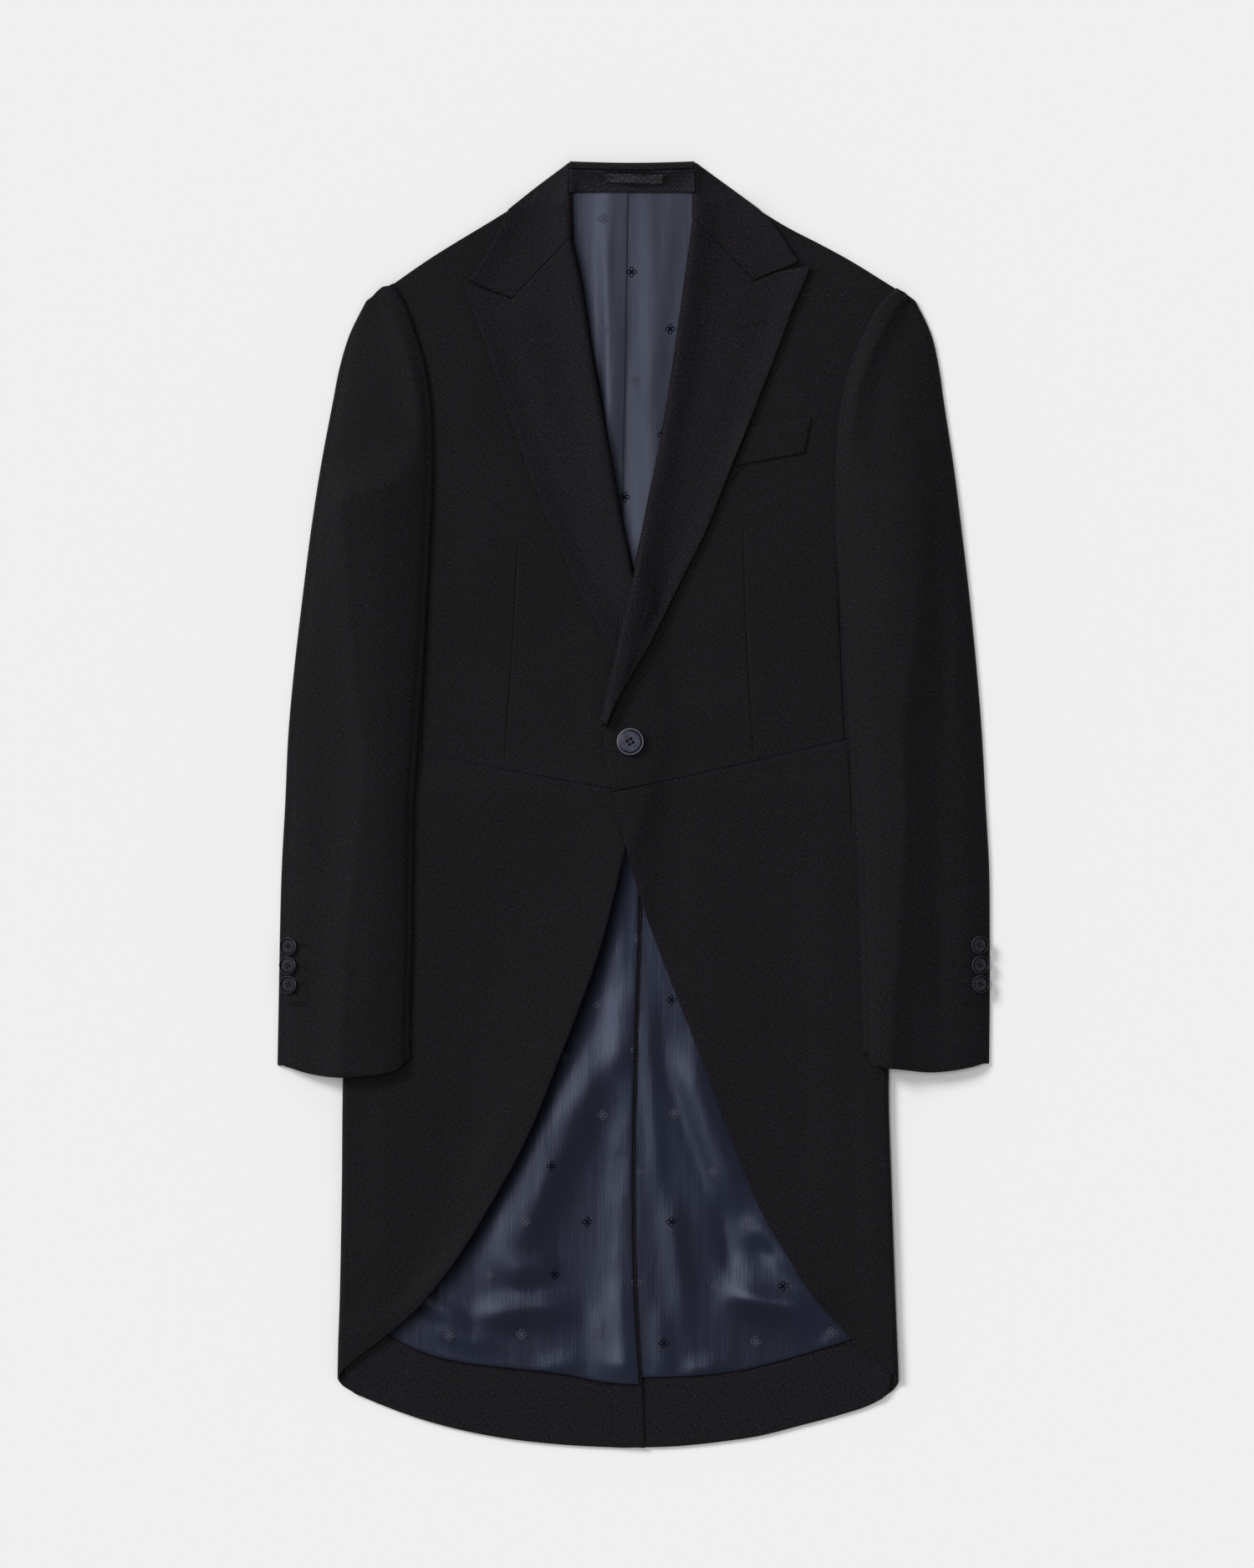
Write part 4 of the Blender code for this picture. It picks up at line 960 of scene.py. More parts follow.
@dataclass(frozen=True)
class Horn:
    """Polished navy button, clouded inside, with a painted highlight on its rim and painted shade in
    its groove.
    """

    name: str
    colour: tuple[float, float, float]
    # colour of the rim: a painted highlight
    rim: tuple[float, float, float]
    roughness: float = 0.2
    specular: float = 0.3

    def make(self) -> Material:
        """Builds the finish.

        Returns:
            Its material.
        """
        n = Nodes(self.name)
        place = n.add("ShaderNodeTexCoord").outputs["Object"]
        cloud = n.eased(n.noise(240.0, 4.0, place), 0.35, 0.68, 0.0, 1.0)
        base = n.mixed(cloud, self.colour, tuple(1.9 * c for c in self.colour))
        turning = n.add("ShaderNodeAttribute", attribute_name="turning").outputs["Fac"]
        # painted highlight: the rim is paler than the disc
        edge = n.eased(turning, 0.89, 0.92, 0.0, 1.0)
        # painted shade: the groove inside the rim is darkened
        groove = n.maths("MULTIPLY", n.eased(turning, 0.76, 0.79, 0.0, 1.0),
                         n.eased(turning, 0.89, 0.92, 1.0, 0.0))
        groove_painted_dark = n.mixed(groove, base, tuple(0.1 * c for c in self.colour))
        n.join(n.mixed(edge, groove_painted_dark, self.rim), n.shader.inputs["Base Color"])
        n.set(Roughness=self.roughness, Specular_IOR_Level=self.specular)
        n.bump(n.noise(900.0, 2.0, place), 0.00006, 0.4)
        return n.material


@dataclass(frozen=True)
class Thread:
    """Sewing thread or twist, with its ply."""

    name: str
    colour: tuple[float, float, float] = (0.008, 0.0075, 0.0095)

    def make(self) -> Material:
        """Builds the finish.

        Returns:
            Its material.
        """
        n = Nodes(self.name)
        place = n.add("ShaderNodeTexCoord").outputs["Object"]
        ply = n.noise(2600.0, 1.0, place)
        n.join(n.mixed(n.eased(ply, 0.3, 0.7, 0.0, 1.0), tuple(0.6 * c for c in self.colour),
                       tuple(1.5 * c for c in self.colour)), n.shader.inputs["Base Color"])
        n.set(Roughness=0.7, Specular_IOR_Level=0.15)
        n.bump(ply, 0.00008, 0.5)
        return n.material


@dataclass(frozen=True)
class Paper:
    """The pale ground that the coat lies on."""

    name: str
    colour: tuple[float, float, float] = (0.86, 0.86, 0.86)

    def make(self) -> Material:
        """Builds the finish.

        Returns:
            Its material.
        """
        n = Nodes(self.name)
        place = n.add("ShaderNodeTexCoord").outputs["Object"]
        grain = n.eased(n.noise(400.0, 2.0, place), 0.3, 0.7, 0.0, 1.0)
        base = n.mixed(grain, tuple(0.995 * c for c in self.colour), self.colour)
        n.join(base, n.shader.inputs["Base Color"])
        n.set(Roughness=0.95, Specular_IOR_Level=0.0)
        return n.material


def once(look: Wool | Satin | Horn | Thread | Paper) -> Material:
    """A wardrobe's entry, whose finish is made with the wardrobe."""
    return field(default_factory=look.make)


@dataclass
class Wardrobe:
    """The finishes, each made once."""

    wool: Material = once(Wool("black wool", (0.0056, 0.0041, 0.0061)))
    # a copy of the black wool painted lighter, for the lapels, collar and facings that catch more light
    facing: Material = once(
        Wool("black wool facing, painted lighter", (0.0070, 0.0054, 0.0078), rib=700.0))
    # a copy of the black wool painted lighter still, against the shade on the stand's slope
    stand: Material = once(
        Wool("black wool stand, painted lighter", (0.0115, 0.0095, 0.0125), rib=700.0))
    ribbon: Material = once(Wool("grosgrain", (0.030, 0.028, 0.032), rib=420.0))
    satin: Material = once(Satin("navy satin", (0.0075, 0.0095, 0.019)))
    # a copy of the navy satin painted lighter for the neck, where it catches more light
    neck_satin_painted_lighter: Material = once(
        Satin("navy satin, neck, painted lighter", (0.026, 0.029, 0.041), roughness=0.32))
    # the second colour is the rim's, a painted highlight
    horn: Material = once(
        Horn("navy horn", (0.024, 0.025, 0.042), (0.12, 0.125, 0.16)))
    # a copy of the navy horn painted darker as shade for the cuff buttons, its rim a painted highlight
    # too
    horn_painted_darker: Material = once(
        Horn("navy horn, painted darker", (0.011, 0.011, 0.016), (0.034, 0.034, 0.044)))
    thread: Material = once(Thread("black twist"))
    paper: Material = once(Paper("pale ground"))

    def slot_of(self, finish: Material) -> str:
        """The frame's material slot that a cloth's finish belongs to."""
        return "satin" if finish in (self.satin, self.neck_satin_painted_lighter, self.ribbon) else "wool"


@dataclass(frozen=True)
class Stitch:
    """Sizes of a row of stitches, in millimetres; turn is from the row's own line."""

    spacing: float
    length: float
    thickness: float
    turn: float = 0.0
    seed: int = 4


OVERCAST = Stitch(0.72, 1.7, 0.52, math.pi / 2)
CUFF_WORK = Stitch(0.66, 1.3, 0.46, math.pi / 2, 7)
FELLING = Stitch(3.4, 1.5, 0.3, 0.5, 11)


class Stitcher(Tree):
    """Geometry nodes that lay uneven stitches along the lines of a mesh."""

    def __init__(self) -> None:
        """Starts the tree with its inputs, and builds it."""
        super().__init__(bpy.data.node_groups.new("stitch_row", "GeometryNodeTree"))
        self.names: dict[str, str] = {}
        sockets = (("Spacing", "NodeSocketFloat"), ("Length", "NodeSocketFloat"),
                   ("Thickness", "NodeSocketFloat"), ("Turn", "NodeSocketFloat"),
                   ("Seed", "NodeSocketInt"), ("Finish", "NodeSocketMaterial"))
        face = self.tree.interface
        face.new_socket("Geometry", in_out="INPUT", socket_type="NodeSocketGeometry")
        for name, kind in sockets:
            made = face.new_socket(name, in_out="INPUT", socket_type=kind)
            self.names[name] = made.identifier
        face.new_socket("Geometry", in_out="OUTPUT", socket_type="NodeSocketGeometry")
        self.build()

    def build(self) -> None:
        """Makes the nodes: a small bead on each point of the line, turned along it."""
        nodes = {name: self.add(kind, **values) for name, kind, values in (
            ("inputs", "NodeGroupInput", {}), ("outputs", "NodeGroupOutput", {}),
            ("curve", "GeometryNodeMeshToCurve", {}),
            ("spaced", "GeometryNodeResampleCurve", {"mode": "LENGTH"}),
            ("bead", "GeometryNodeMeshIcoSphere", {}),
            ("sizes", "ShaderNodeCombineXYZ", {}),
            ("shaped", "GeometryNodeTransform", {}),
            ("tangent", "GeometryNodeInputTangent", {}),
            ("along", "FunctionNodeAlignRotationToVector", {"axis": "X"}),
            ("uneven", "FunctionNodeRandomValue", {"data_type": "FLOAT"}),
            ("angle", "ShaderNodeMath", {"operation": "ADD"}),
            ("about", "FunctionNodeAxisAngleToRotation", {}),
            ("turned", "FunctionNodeRotateRotation", {"rotation_space": "LOCAL"}),
            ("placed", "GeometryNodeInstanceOnPoints", {}),
            ("real", "GeometryNodeRealizeInstances", {}),
            ("painted", "GeometryNodeSetMaterial", {}))}
        for name, socket, value in (("bead", "Radius", 0.5), ("bead", "Subdivisions", 2),
                                    ("uneven", 2, -0.16), ("uneven", 3, 0.16),
                                    ("about", "Axis", (0.0, 0.0, 1.0))):
            nodes[name].inputs[socket].default_value = value
        for source, out, target, into in (
                ("inputs", "Geometry", "curve", "Mesh"), ("curve", "Curve", "spaced", "Curve"),
                ("inputs", "Spacing", "spaced", "Length"), ("bead", "Mesh", "shaped", "Geometry"),
                ("inputs", "Length", "sizes", 0), ("inputs", "Thickness", "sizes", 1),
                ("inputs", "Thickness", "sizes", 2), ("sizes", 0, "shaped", "Scale"),
                ("tangent", 0, "along", "Vector"), ("inputs", "Seed", "uneven", "Seed"),
                ("inputs", "Turn", "angle", 0), ("uneven", 1, "angle", 1),
                ("angle", 0, "about", "Angle"), ("along", 0, "turned", 0),
                ("about", 0, "turned", 1), ("spaced", "Curve", "placed", "Points"),
                ("shaped", "Geometry", "placed", "Instance"), ("turned", 0, "placed", "Rotation"),
                ("placed", "Instances", "real", "Geometry"),
                ("real", "Geometry", "painted", "Geometry"),
                ("inputs", "Finish", "painted", "Material"),
                ("painted", "Geometry", "outputs", "Geometry")):
            self.join(nodes[source].outputs[out], nodes[target].inputs[into])

    def bake(self, row: bpy.types.Object, stitch: Stitch, finish: Material) -> None:
        """Turns a line mesh into its stitches.

        Args:
            row: the object whose mesh is the line.
            stitch: the stitch's sizes.
            finish: the thread's material.
        """
        sewn = row.modifiers.new("stitches", "NODES")
        sewn.node_group = self.tree
        values = {"Spacing": stitch.spacing * MM, "Length": stitch.length * MM,
                  "Thickness": stitch.thickness * MM, "Turn": stitch.turn,
                  "Seed": stitch.seed, "Finish": finish}
        for name, value in values.items():
            sewn[self.names[name]] = value
        row.update_tag()
        graph = bpy.context.evaluated_depsgraph_get()
        mesh = bpy.data.meshes.new_from_object(row.evaluated_get(graph))
        row.modifiers.remove(sewn)
        path, row.data = row.data, mesh
        mesh.name = row.name
        mesh.shade_smooth()
        bpy.data.meshes.remove(path)


def ring_faces(rings: int, sides: int) -> list[list[int]]:
    """The faces of a closed turned shape.

    Args:
        rings: how many rings of points it has.
        sides: points of each ring.

    Returns:
        Each face's point indices: the sides, and the two ends.
    """
    faces = [[i * sides + k, (i + 1) * sides + k, (i + 1) * sides + (k + 1) % sides,
              i * sides + (k + 1) % sides] for i in range(rings - 1) for k in range(sides)]
    return faces + [list(range(sides)), [(rings - 1) * sides + k for k in range(sides)][::-1]]


def tube(line: Array, radius: float, sides: int = 10
         ) -> tuple[Array, list[list[int]]]:
    """A closed round tube along a line of points.

    Args:
        line: points in space.
        radius: the tube's radius.
        sides: points around it.

    Returns:
        Its points and faces.
    """
    way = np.gradient(line, axis=0)
    way /= np.linalg.norm(way, axis=1)[:, None]
    side = np.cross(way, [0.0, 0.0, 1.0])
    side /= np.maximum(np.linalg.norm(side, axis=1), 1e-6)[:, None]
    up = np.cross(side, way)
    rings = []
    for k in range(sides):
        turn = 2 * math.pi * k / sides
        rings.append(line + radius * (math.cos(turn) * side + math.sin(turn) * up))
    return np.stack(rings, axis=1).reshape(-1, 3), ring_faces(len(line), sides)


@dataclass(frozen=True)
class ButtonSizes:
    """A four-hole button with a raised rim, in millimetres; shares are of its radius."""

    diameter: float
    height: float
    segments: int = 64
    hole: float = 0.115
    spacing: float = 0.22
    turn: float = math.radians(75)
    thread: float = 0.15
    profile: Points = ((0.4, 0.6), (0.7, 0.64), (0.745, 0.63), (0.77, 0.5), (0.785, 0.28),
                       (0.865, 0.26), (0.885, 0.6), (0.9, 0.92), (0.925, 1.0), (0.965, 0.98),
                       (0.99, 0.82), (1.0, 0.6), (0.985, 0.36), (0.92, 0.12), (0.84, 0.0))

    @property
    def radius(self) -> float:
        """Half the diameter."""
        return self.diameter / 2

    def holes(self) -> list[Array]:
        """Places the four holes.

        Returns:
            Their centres about the button's middle.
        """
        angles = [self.turn + k * math.pi / 2 for k in range(4)]
        reach = self.spacing * self.radius
        return [np.array([reach * math.cos(a), reach * math.sin(a)]) for a in angles]

    def strands(self) -> list[Array]:
        """Ties two pairs of holes with thread.

        Returns:
            Arcs that start and end inside the holes.
        """
        places = self.holes()
        lines = []
        for first, last in ((0, 1), (2, 3)):
            for side in (-0.5, 0.5):
                a, b = places[first], places[last]
                across = np.array([-(b - a)[1], (b - a)[0]])
                shift = side * 1.7 * self.thread * across / np.linalg.norm(across)
                t = np.linspace(0, 1, 17)[:, None]
                flat = a + shift + t * (b - a)
                dip = 0.62 * self.height + self.thread * 1.2 - 1.6 * np.abs(2 * t - 1) ** 6
                lines.append(np.column_stack([flat, dip]))
        return lines

    def drilled(self) -> tuple[Array, list[list[int]]]:
        """Turns the button and cuts its holes.

        Returns:
            Its points in millimetres and its faces.
        """
        turned = bpy.data.meshes.new("turned")
        rings = []
        for share, high in self.profile:
            around = np.linspace(0, 2 * math.pi, self.segments, endpoint=False)
            reach = share * self.radius
            rings.append(np.column_stack([reach * np.cos(around), reach * np.sin(around),
                                          np.full(self.segments, high * self.height)]))
        turned.from_pydata(np.concatenate(rings).tolist(), [], ring_faces(len(rings), self.segments))
        body = bpy.data.objects.new("turned", turned)
        bpy.context.scene.collection.objects.link(body)
        drills = []
        for x, y in self.holes():
            points, sides = tube(np.array([[x, y, -2.0], [x + 1e-4, y, self.height + 2.0]]),
                                 self.hole * self.radius, 24)
            drill = bpy.data.meshes.new("drill")
            drill.from_pydata(points.tolist(), [], sides)
            bit = bpy.data.objects.new("drill", drill)
            bpy.context.scene.collection.objects.link(bit)
            cut = body.modifiers.new("hole", "BOOLEAN")
            cut.operation = "DIFFERENCE"
            cut.object = bit
            drills.append(bit)
        graph = bpy.context.evaluated_depsgraph_get()
        mesh = bpy.data.meshes.new_from_object(body.evaluated_get(graph))
        points = np.array([vertex.co[:] for vertex in mesh.vertices])
        drilled = [list(face.vertices) for face in mesh.polygons]
        for thing in [body] + drills:
            bpy.data.objects.remove(thing, do_unlink=True)
        return points, drilled


FRONT_BUTTON_SIZES = ButtonSizes(22.5, 3.4)
CUFF_BUTTON_SIZES = ButtonSizes(15.0, 2.8, 48, thread=0.12)
CUFF_LEAN = math.radians(20)
CUFF_HOLES = {Side.RIGHT: (-118.5, -136.0, -151.0), Side.LEFT: (-118.0, -135.0, -151.0)}
LAST_CUFF_HOLE = {Side.RIGHT: (273.5, 289.5, -167.5), Side.LEFT: (275.0, 289.5, -167.0)}


@dataclass
class Workshop:
    """What all the parts of the coat share: the cloth laid so far, the finishes, the needle and
    the pieces made. Sizes are in millimetres."""

    table: HeightMap = field(default_factory=HeightMap)
    wardrobe: Wardrobe = field(default_factory=Wardrobe)
    stitcher: Stitcher = field(default_factory=Stitcher)
    pieces: list[bpy.types.Object] = field(default_factory=list)
    foreparts: dict[Side, Array] = field(default_factory=dict)
    dart_fade: float = 6.0
    no_dart: float = 50.0

    def mesh(self, name: str, points: Array, faces: Sequence[Sequence[int]],
             finish: Material, grain: float = 0.0,
             dart: Points | None = None, shade: Shade | None = None) -> bpy.types.Object:
        """An object in the frame from pattern points and faces.

        Args:
            name: the object's name.
            points: pattern points in millimetres.
            faces: each face's point indices.
            finish: its material.
            grain: turn of the cloth's grain from the pattern's Y, in radians.
            dart: a line of points, from top to bottom, that is drawn into the cloth as a seam.
            shade: the edge of a cloth above, beside which shade is painted into this cloth.

        Returns:
            The object, linked to the scene.
        """
        points = points.reshape(-1, 3)
        mesh = bpy.data.meshes.new(name)
        mesh.from_pydata(PLACING.metres(points).tolist(), [], faces)
        mesh.shade_smooth()
        turn = np.array([[math.cos(grain), -math.sin(grain)], [math.sin(grain), math.cos(grain)]])
        flat = points[:, :2] @ turn * MM
        corners = np.empty(len(mesh.loops), dtype=int)
        mesh.loops.foreach_get("vertex_index", corners)
        layer = mesh.uv_layers.new(name="cloth")
        layer.data.foreach_set("uv", flat[corners].astype(np.float32).ravel())
        marks = np.zeros((len(points), 3), np.float32)
        marks[:, 0] = self.no_dart
        if dart is not None:
            line = run(dart, 40)[::-1]
            marks[:, 0] = points[:, 0] - np.interp(points[:, 1], line[:, 1], line[:, 0])
            ends = np.minimum(points[:, 1] - line[0, 1], line[-1, 1] - points[:, 1])
            marks[:, 1] = np.clip(ends / self.dart_fade, 0, 1)
        # painted shade: darkest at the edge of the cloth above, gone at the shade's width
        if shade is not None:
            away = distance_to(points[:, None], shade.line)[:, 0]
            marks[:, 2] = 1 - smooth(away / shade.width)
        # the attribute holds the dart's marks and, third, the painted shade
        attribute = mesh.attributes.new("dart", "FLOAT_VECTOR", "POINT")
        attribute.data.foreach_set("vector", marks.ravel())
        mesh.materials.append(finish)
        made = bpy.data.objects.new(name, mesh)
        bpy.context.scene.collection.objects.link(made)
        return made

    def dress(self, made: bpy.types.Object, slot: str) -> None:
        """Puts a piece on the coat's body, and keeps it in the workshop's list of pieces.

        Args:
            made: the piece.
            slot: its material slot; not used.
        """
        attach(made, BODY)
        self.pieces.append(made)

    def cloth(self, node: str, under: Array, way: Array | float,
              finish: Material, grain: float = 0.0,
              dart: Points | None = None, shade: Shade | None = None) -> bpy.types.Object:
        """Makes a closed, round-edged wall from a grid and the way to its other face.

        Args:
            node: the frame's node that it replaces.
            under: grid of points on the lower face.
            way: offsets to the upper face, or one thickness straight up.
            finish: its material.
            grain: turn of the grain, in radians.
            dart: a seam line drawn into it.
            shade: the edge of a cloth above, beside which shade is painted into this cloth.

        Returns:
            The object.
        """
        if isinstance(way, float):
            way = np.zeros_like(under) + [0.0, 0.0, way]
        self.table.add(under + way)
        self.table.add(under)
        under, way = rounded_border(under, way)
        rows, cols = under.shape[:2]
        half = rows * cols
        index = np.arange(half).reshape(rows, cols)
        a, b, c, d = index[:-1, :-1], index[1:, :-1], index[1:, 1:], index[:-1, 1:]
        quads = np.stack([a, b, c, d], axis=-1).reshape(-1, 4)
        ring = np.concatenate([index[0, :-1], index[:-1, -1], index[-1, :0:-1], index[:0:-1, 0]])
        after = np.roll(ring, -1)
        walls = np.stack([ring, after, after + half, ring + half], axis=-1)
        faces = np.concatenate([quads, quads[:, ::-1] + half, walls])
        points = np.concatenate([under.reshape(-1, 3), (under + way).reshape(-1, 3)])
        one, two, three = (points[faces[:, k]] for k in range(3))
        if np.einsum("ij,ij->i", one, np.cross(two, three)).sum() < 0:
            faces = faces[:, ::-1]
        made = self.mesh(f"{node}_cloth", points, faces.tolist(), finish, grain, dart, shade)
        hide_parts(node)
        self.dress(made, self.wardrobe.slot_of(finish))
        if node in CUTS:
            cut = CUTS[node]
            cut.flat
            list(cut.over)
            cut.area
        return made

    def on_cloth(self, points: Points, spacing: float = 1.0, lift: float = 0.0) -> Array:
        """A line of points in plan raised onto the cloth below it.

        Args:
            points: the line's own points in plan.
            spacing: distance between its points, in millimetres.
            lift: height above the cloth, in millimetres.

        Returns:
            The points in space.
        """
        p = np.array(points, float)
        length = np.linalg.norm(np.diff(p, axis=0), axis=1).sum()
        line = run(points, max(4, round(length / spacing)))
        z = np.array([self.table.top(x, y, 0.8) for x, y in line])
        z = np.convolve(np.pad(z, 2, mode="edge"), np.ones(5) / 5, mode="valid")
        return np.column_stack([line, z + lift])

    def sew(self, name: str, lines: Sequence[Array], stitch: Stitch) -> bpy.types.Object:
        """Lays stitches along lines with the stitch nodes, and bakes them.

        Args:
            name: the object's name.
            lines: lines of points in space, in millimetres.
            stitch: the stitch's sizes.

        Returns:
            The object.
        """
        edges, start = [], 0
        for line in lines:
            edges += [(start + k, start + k + 1) for k in range(len(line) - 1)]
            start += len(line)
        path = bpy.data.meshes.new(f"{name}_path")
        path.from_pydata(PLACING.metres(np.concatenate(lines)).tolist(), edges, [])
        made = bpy.data.objects.new(name, path)
        bpy.context.scene.collection.objects.link(made)
        self.stitcher.bake(made, stitch, self.wardrobe.thread)
        self.dress(made, "wool")
        return made


@dataclass
class Part:
    """A sub-assembly of the coat, which makes and dresses its pieces in the workshop."""

    shop: Workshop

    def build(self) -> None:
        """Makes the part's pieces."""
        raise NotImplementedError


@dataclass
class Backs(Part):
    """The two halves of the back, with their long tails, flat on the table."""

    neck: float = 513.0
    neck_half: float = 52.0
    underarm: Points = ((184, 296), (205, 268))

    def build(self) -> None:
        """Lays the right half and the left half."""
        for side in Side:
            edges, s = EDGES[side], side.sign
            base = joined(edges.base_line("fold", 24), edges.base_line("skirt_fold", 60))
            base[-1] = edges.hem[-1]
            underarm = [(s * x, y) for x, y in self.underarm]
            armhole = list(edges.armhole[:-1]) + underarm + [tuple(base[0])]
            outer = joined(run(armhole, 20), base)
            nape, corner = (CENTRE_SEAM, self.neck), (s * self.neck_half, self.neck)
            top = joined(run([nape, corner], 6), run([corner, edges.shoulder[0]], 6),
                         run(list(edges.shoulder[:-1]) + [armhole[0]], 12))
            inner = run([nape, (CENTRE_SEAM, edges.hem[0][1])], len(outer) - 1)
            grid = patch(inner, outer, top, edges.line("hem", 24))
            self.shop.cloth(f"back_{side.value}", level(inset(grid), 0.0), WALL.back,
                            self.shop.wardrobe.wool)


@dataclass
class Linings(Part):
    """Back linings with their centre pleat, tail linings, hem facings and the vent's edge."""

    rows: int = 100
    tail_rows: int = 112
    cols: int = 52
    fold_room: float = 3.0
    armhole_room: float = 8.0
    neck: float = 514.0
    left_pleat: float = -18.0
    flap_lift: float = 0.8
    # how far the painted shade reaches beside the right skirt's cutaway and beside the right collar and
    # lapel roll
    tail_shade: float = 15.0
    neck_shade: float = 8.5
    vent_inner: Points = ((-16, -20), (-16, -538))
    vent_lap: float = 3.0

    def build(self) -> None:
        """Lays the left side, then the right side, which laps over it."""
        for side in (Side.LEFT, Side.RIGHT):
            waist = self.lay_back_lining(side)
            hem = self.lay_hem_facing(side)
            if side is Side.RIGHT:
                self.lay_vent_edge()
            self.lay_tail_lining(side, waist, hem)

    def beside_fold(self, side: Side, line: Points) -> Points:
        """A line of the side fold moved in to where a lining ends."""
        return [(x - side.sign * (EDGES[side].base_inset + self.fold_room), y) for x, y in line]

    def lay_back_lining(self, side: Side) -> Array:
        """Lines one half of the back, from the neck to the waist.

        Args:
            side: the wearer's side.

        Returns:
            The lining's lower edge, from the centre outwards.
        """
        s, edges = side.sign, EDGES[side]
        armhole = [(x - self.armhole_room * s, y - self.armhole_room) for x, y in edges.armhole]
        folds = self.beside_fold(side, list(edges.fold) + list(edges.skirt_fold[1:-1]))
        sides = [p for p in folds if p[1] > WAIST_LEVEL]
        fold = (float(edges.fold_at(WAIST_LEVEL)), WAIST_LEVEL)
        corner = self.beside_fold(side, [fold])[0]
        outer = joined(run(armhole, 40), run([armhole[-1], sides[0]], 12),
                       run(sides + [corner], 48))
        left = [(self.left_pleat, self.neck), (self.left_pleat, WAIST_LEVEL)]
        pleat = run(LINING_PLEAT if side is Side.RIGHT else left, self.rows)
        neck = [tuple(pleat[0]), (s * 49, 513), (s * 100, 489), armhole[0]]
        top = joined(run(neck[:2], 16), run(neck[1:3], 16), run(neck[2:], 20))
        waist = run([tuple(pleat[-1]), corner], self.cols)
        grid = level(inset(patch(pleat, outer, top, waist)), LINING_BED)
        drape([grid], self.shop.table, NECK_CREASES)
        # painted shade on the neck lining beside the right collar's and lapel's roll
        over = EDGES[Side.RIGHT]
        above = joined(over.line("neck_roll", 12)[::-1], over.line("roll", 48))
        self.shop.cloth(f"back_lining_{side.value}", grid, WALL.lining,
                        self.shop.wardrobe.neck_satin_painted_lighter, shade=Shade(above, self.neck_shade))
        return waist

    def lay_hem_facing(self, side: Side) -> Array:
        """Lays the turned-up hem of one tail.

        Args:
            side: the wearer's side.

        Returns:
            The line where the tail's lining meets it, from the centre outwards.
        """
        edges, corner = EDGES[side], FACING_CORNER[side]
        hem = edges.line("lining_hem", self.cols)
        top = joined(hem, run([tuple(hem[-1]), corner[0]], 6))
        top[0, 0] = CENTRE_SEAM
        outer = run(list(corner) + [edges.hem[-1]], 16)
        inner = run([tuple(top[0]), edges.hem[0]], 16)
        facing = patch(inner, outer, top, edges.line("hem", self.cols + 6))
        from_fold = np.abs(edges.fold_at(facing[..., 1]) - facing[..., 0])
        lift = self.flap_lift * (1 - smooth((from_fold - edges.base_inset) / 8))
        self.shop.cloth(f"hem_facing_{side.value}", level(inset(facing), LINING_BED + lift),
                        WALL.facing, self.shop.wardrobe.facing)
        return hem

    def lay_vent_edge(self) -> None:
        """Lays the right tail's edge of outer cloth over the left tail."""
        edge = run(VENT_EDGE, 110)
        inner = run(self.vent_inner, 110)
        lap = patch(inner, edge, run([inner[0], edge[0]], 6), run([inner[-1], edge[-1]], 6))
        lap = level(inset(lap), LINING_BED)
        drape([lap], self.shop.table, reach=3.0)
        self.shop.cloth("vent_edge", lap, WALL.facing, self.shop.wardrobe.facing)

    def lay_tail_lining(self, side: Side, waist: Array, hem: Array) -> None:
        """Lines one tail, from the waist to the hem facing.

        Args:
            side: the wearer's side.
            waist: its upper edge, from the centre outwards.
            hem: its lower edge.
        """
        if side is Side.RIGHT:
            beside = [(x - self.vent_lap, y) for x, y in VENT_EDGE if hem[0][1] < y]
            # painted shade on the right tail's lining beside the skirt's cutaway edge
            above = Shade(EDGES[side].line("cutaway", 40), self.tail_shade)
        else:
            beside = [(CENTRE_SEAM, -60)]
            above = None
        inner = run([tuple(waist[0])] + beside + [tuple(hem[0])], self.tail_rows)
        folds = [(x, y) for x, y in EDGES[side].skirt_fold if hem[-1][1] + 20 < y < WAIST_LEVEL]
        outer = run([tuple(waist[-1])] + self.beside_fold(side, folds) + [tuple(hem[-1])],
                    self.tail_rows)
        grid = level(inset(patch(inner, outer, waist, hem)), TAIL_BED[side])
        drape([grid], self.shop.table, TAIL_CREASES)
        self.shop.cloth(f"tail_lining_{side.value}", grid, WALL.lining,
                        self.shop.wardrobe.satin, shade=above)


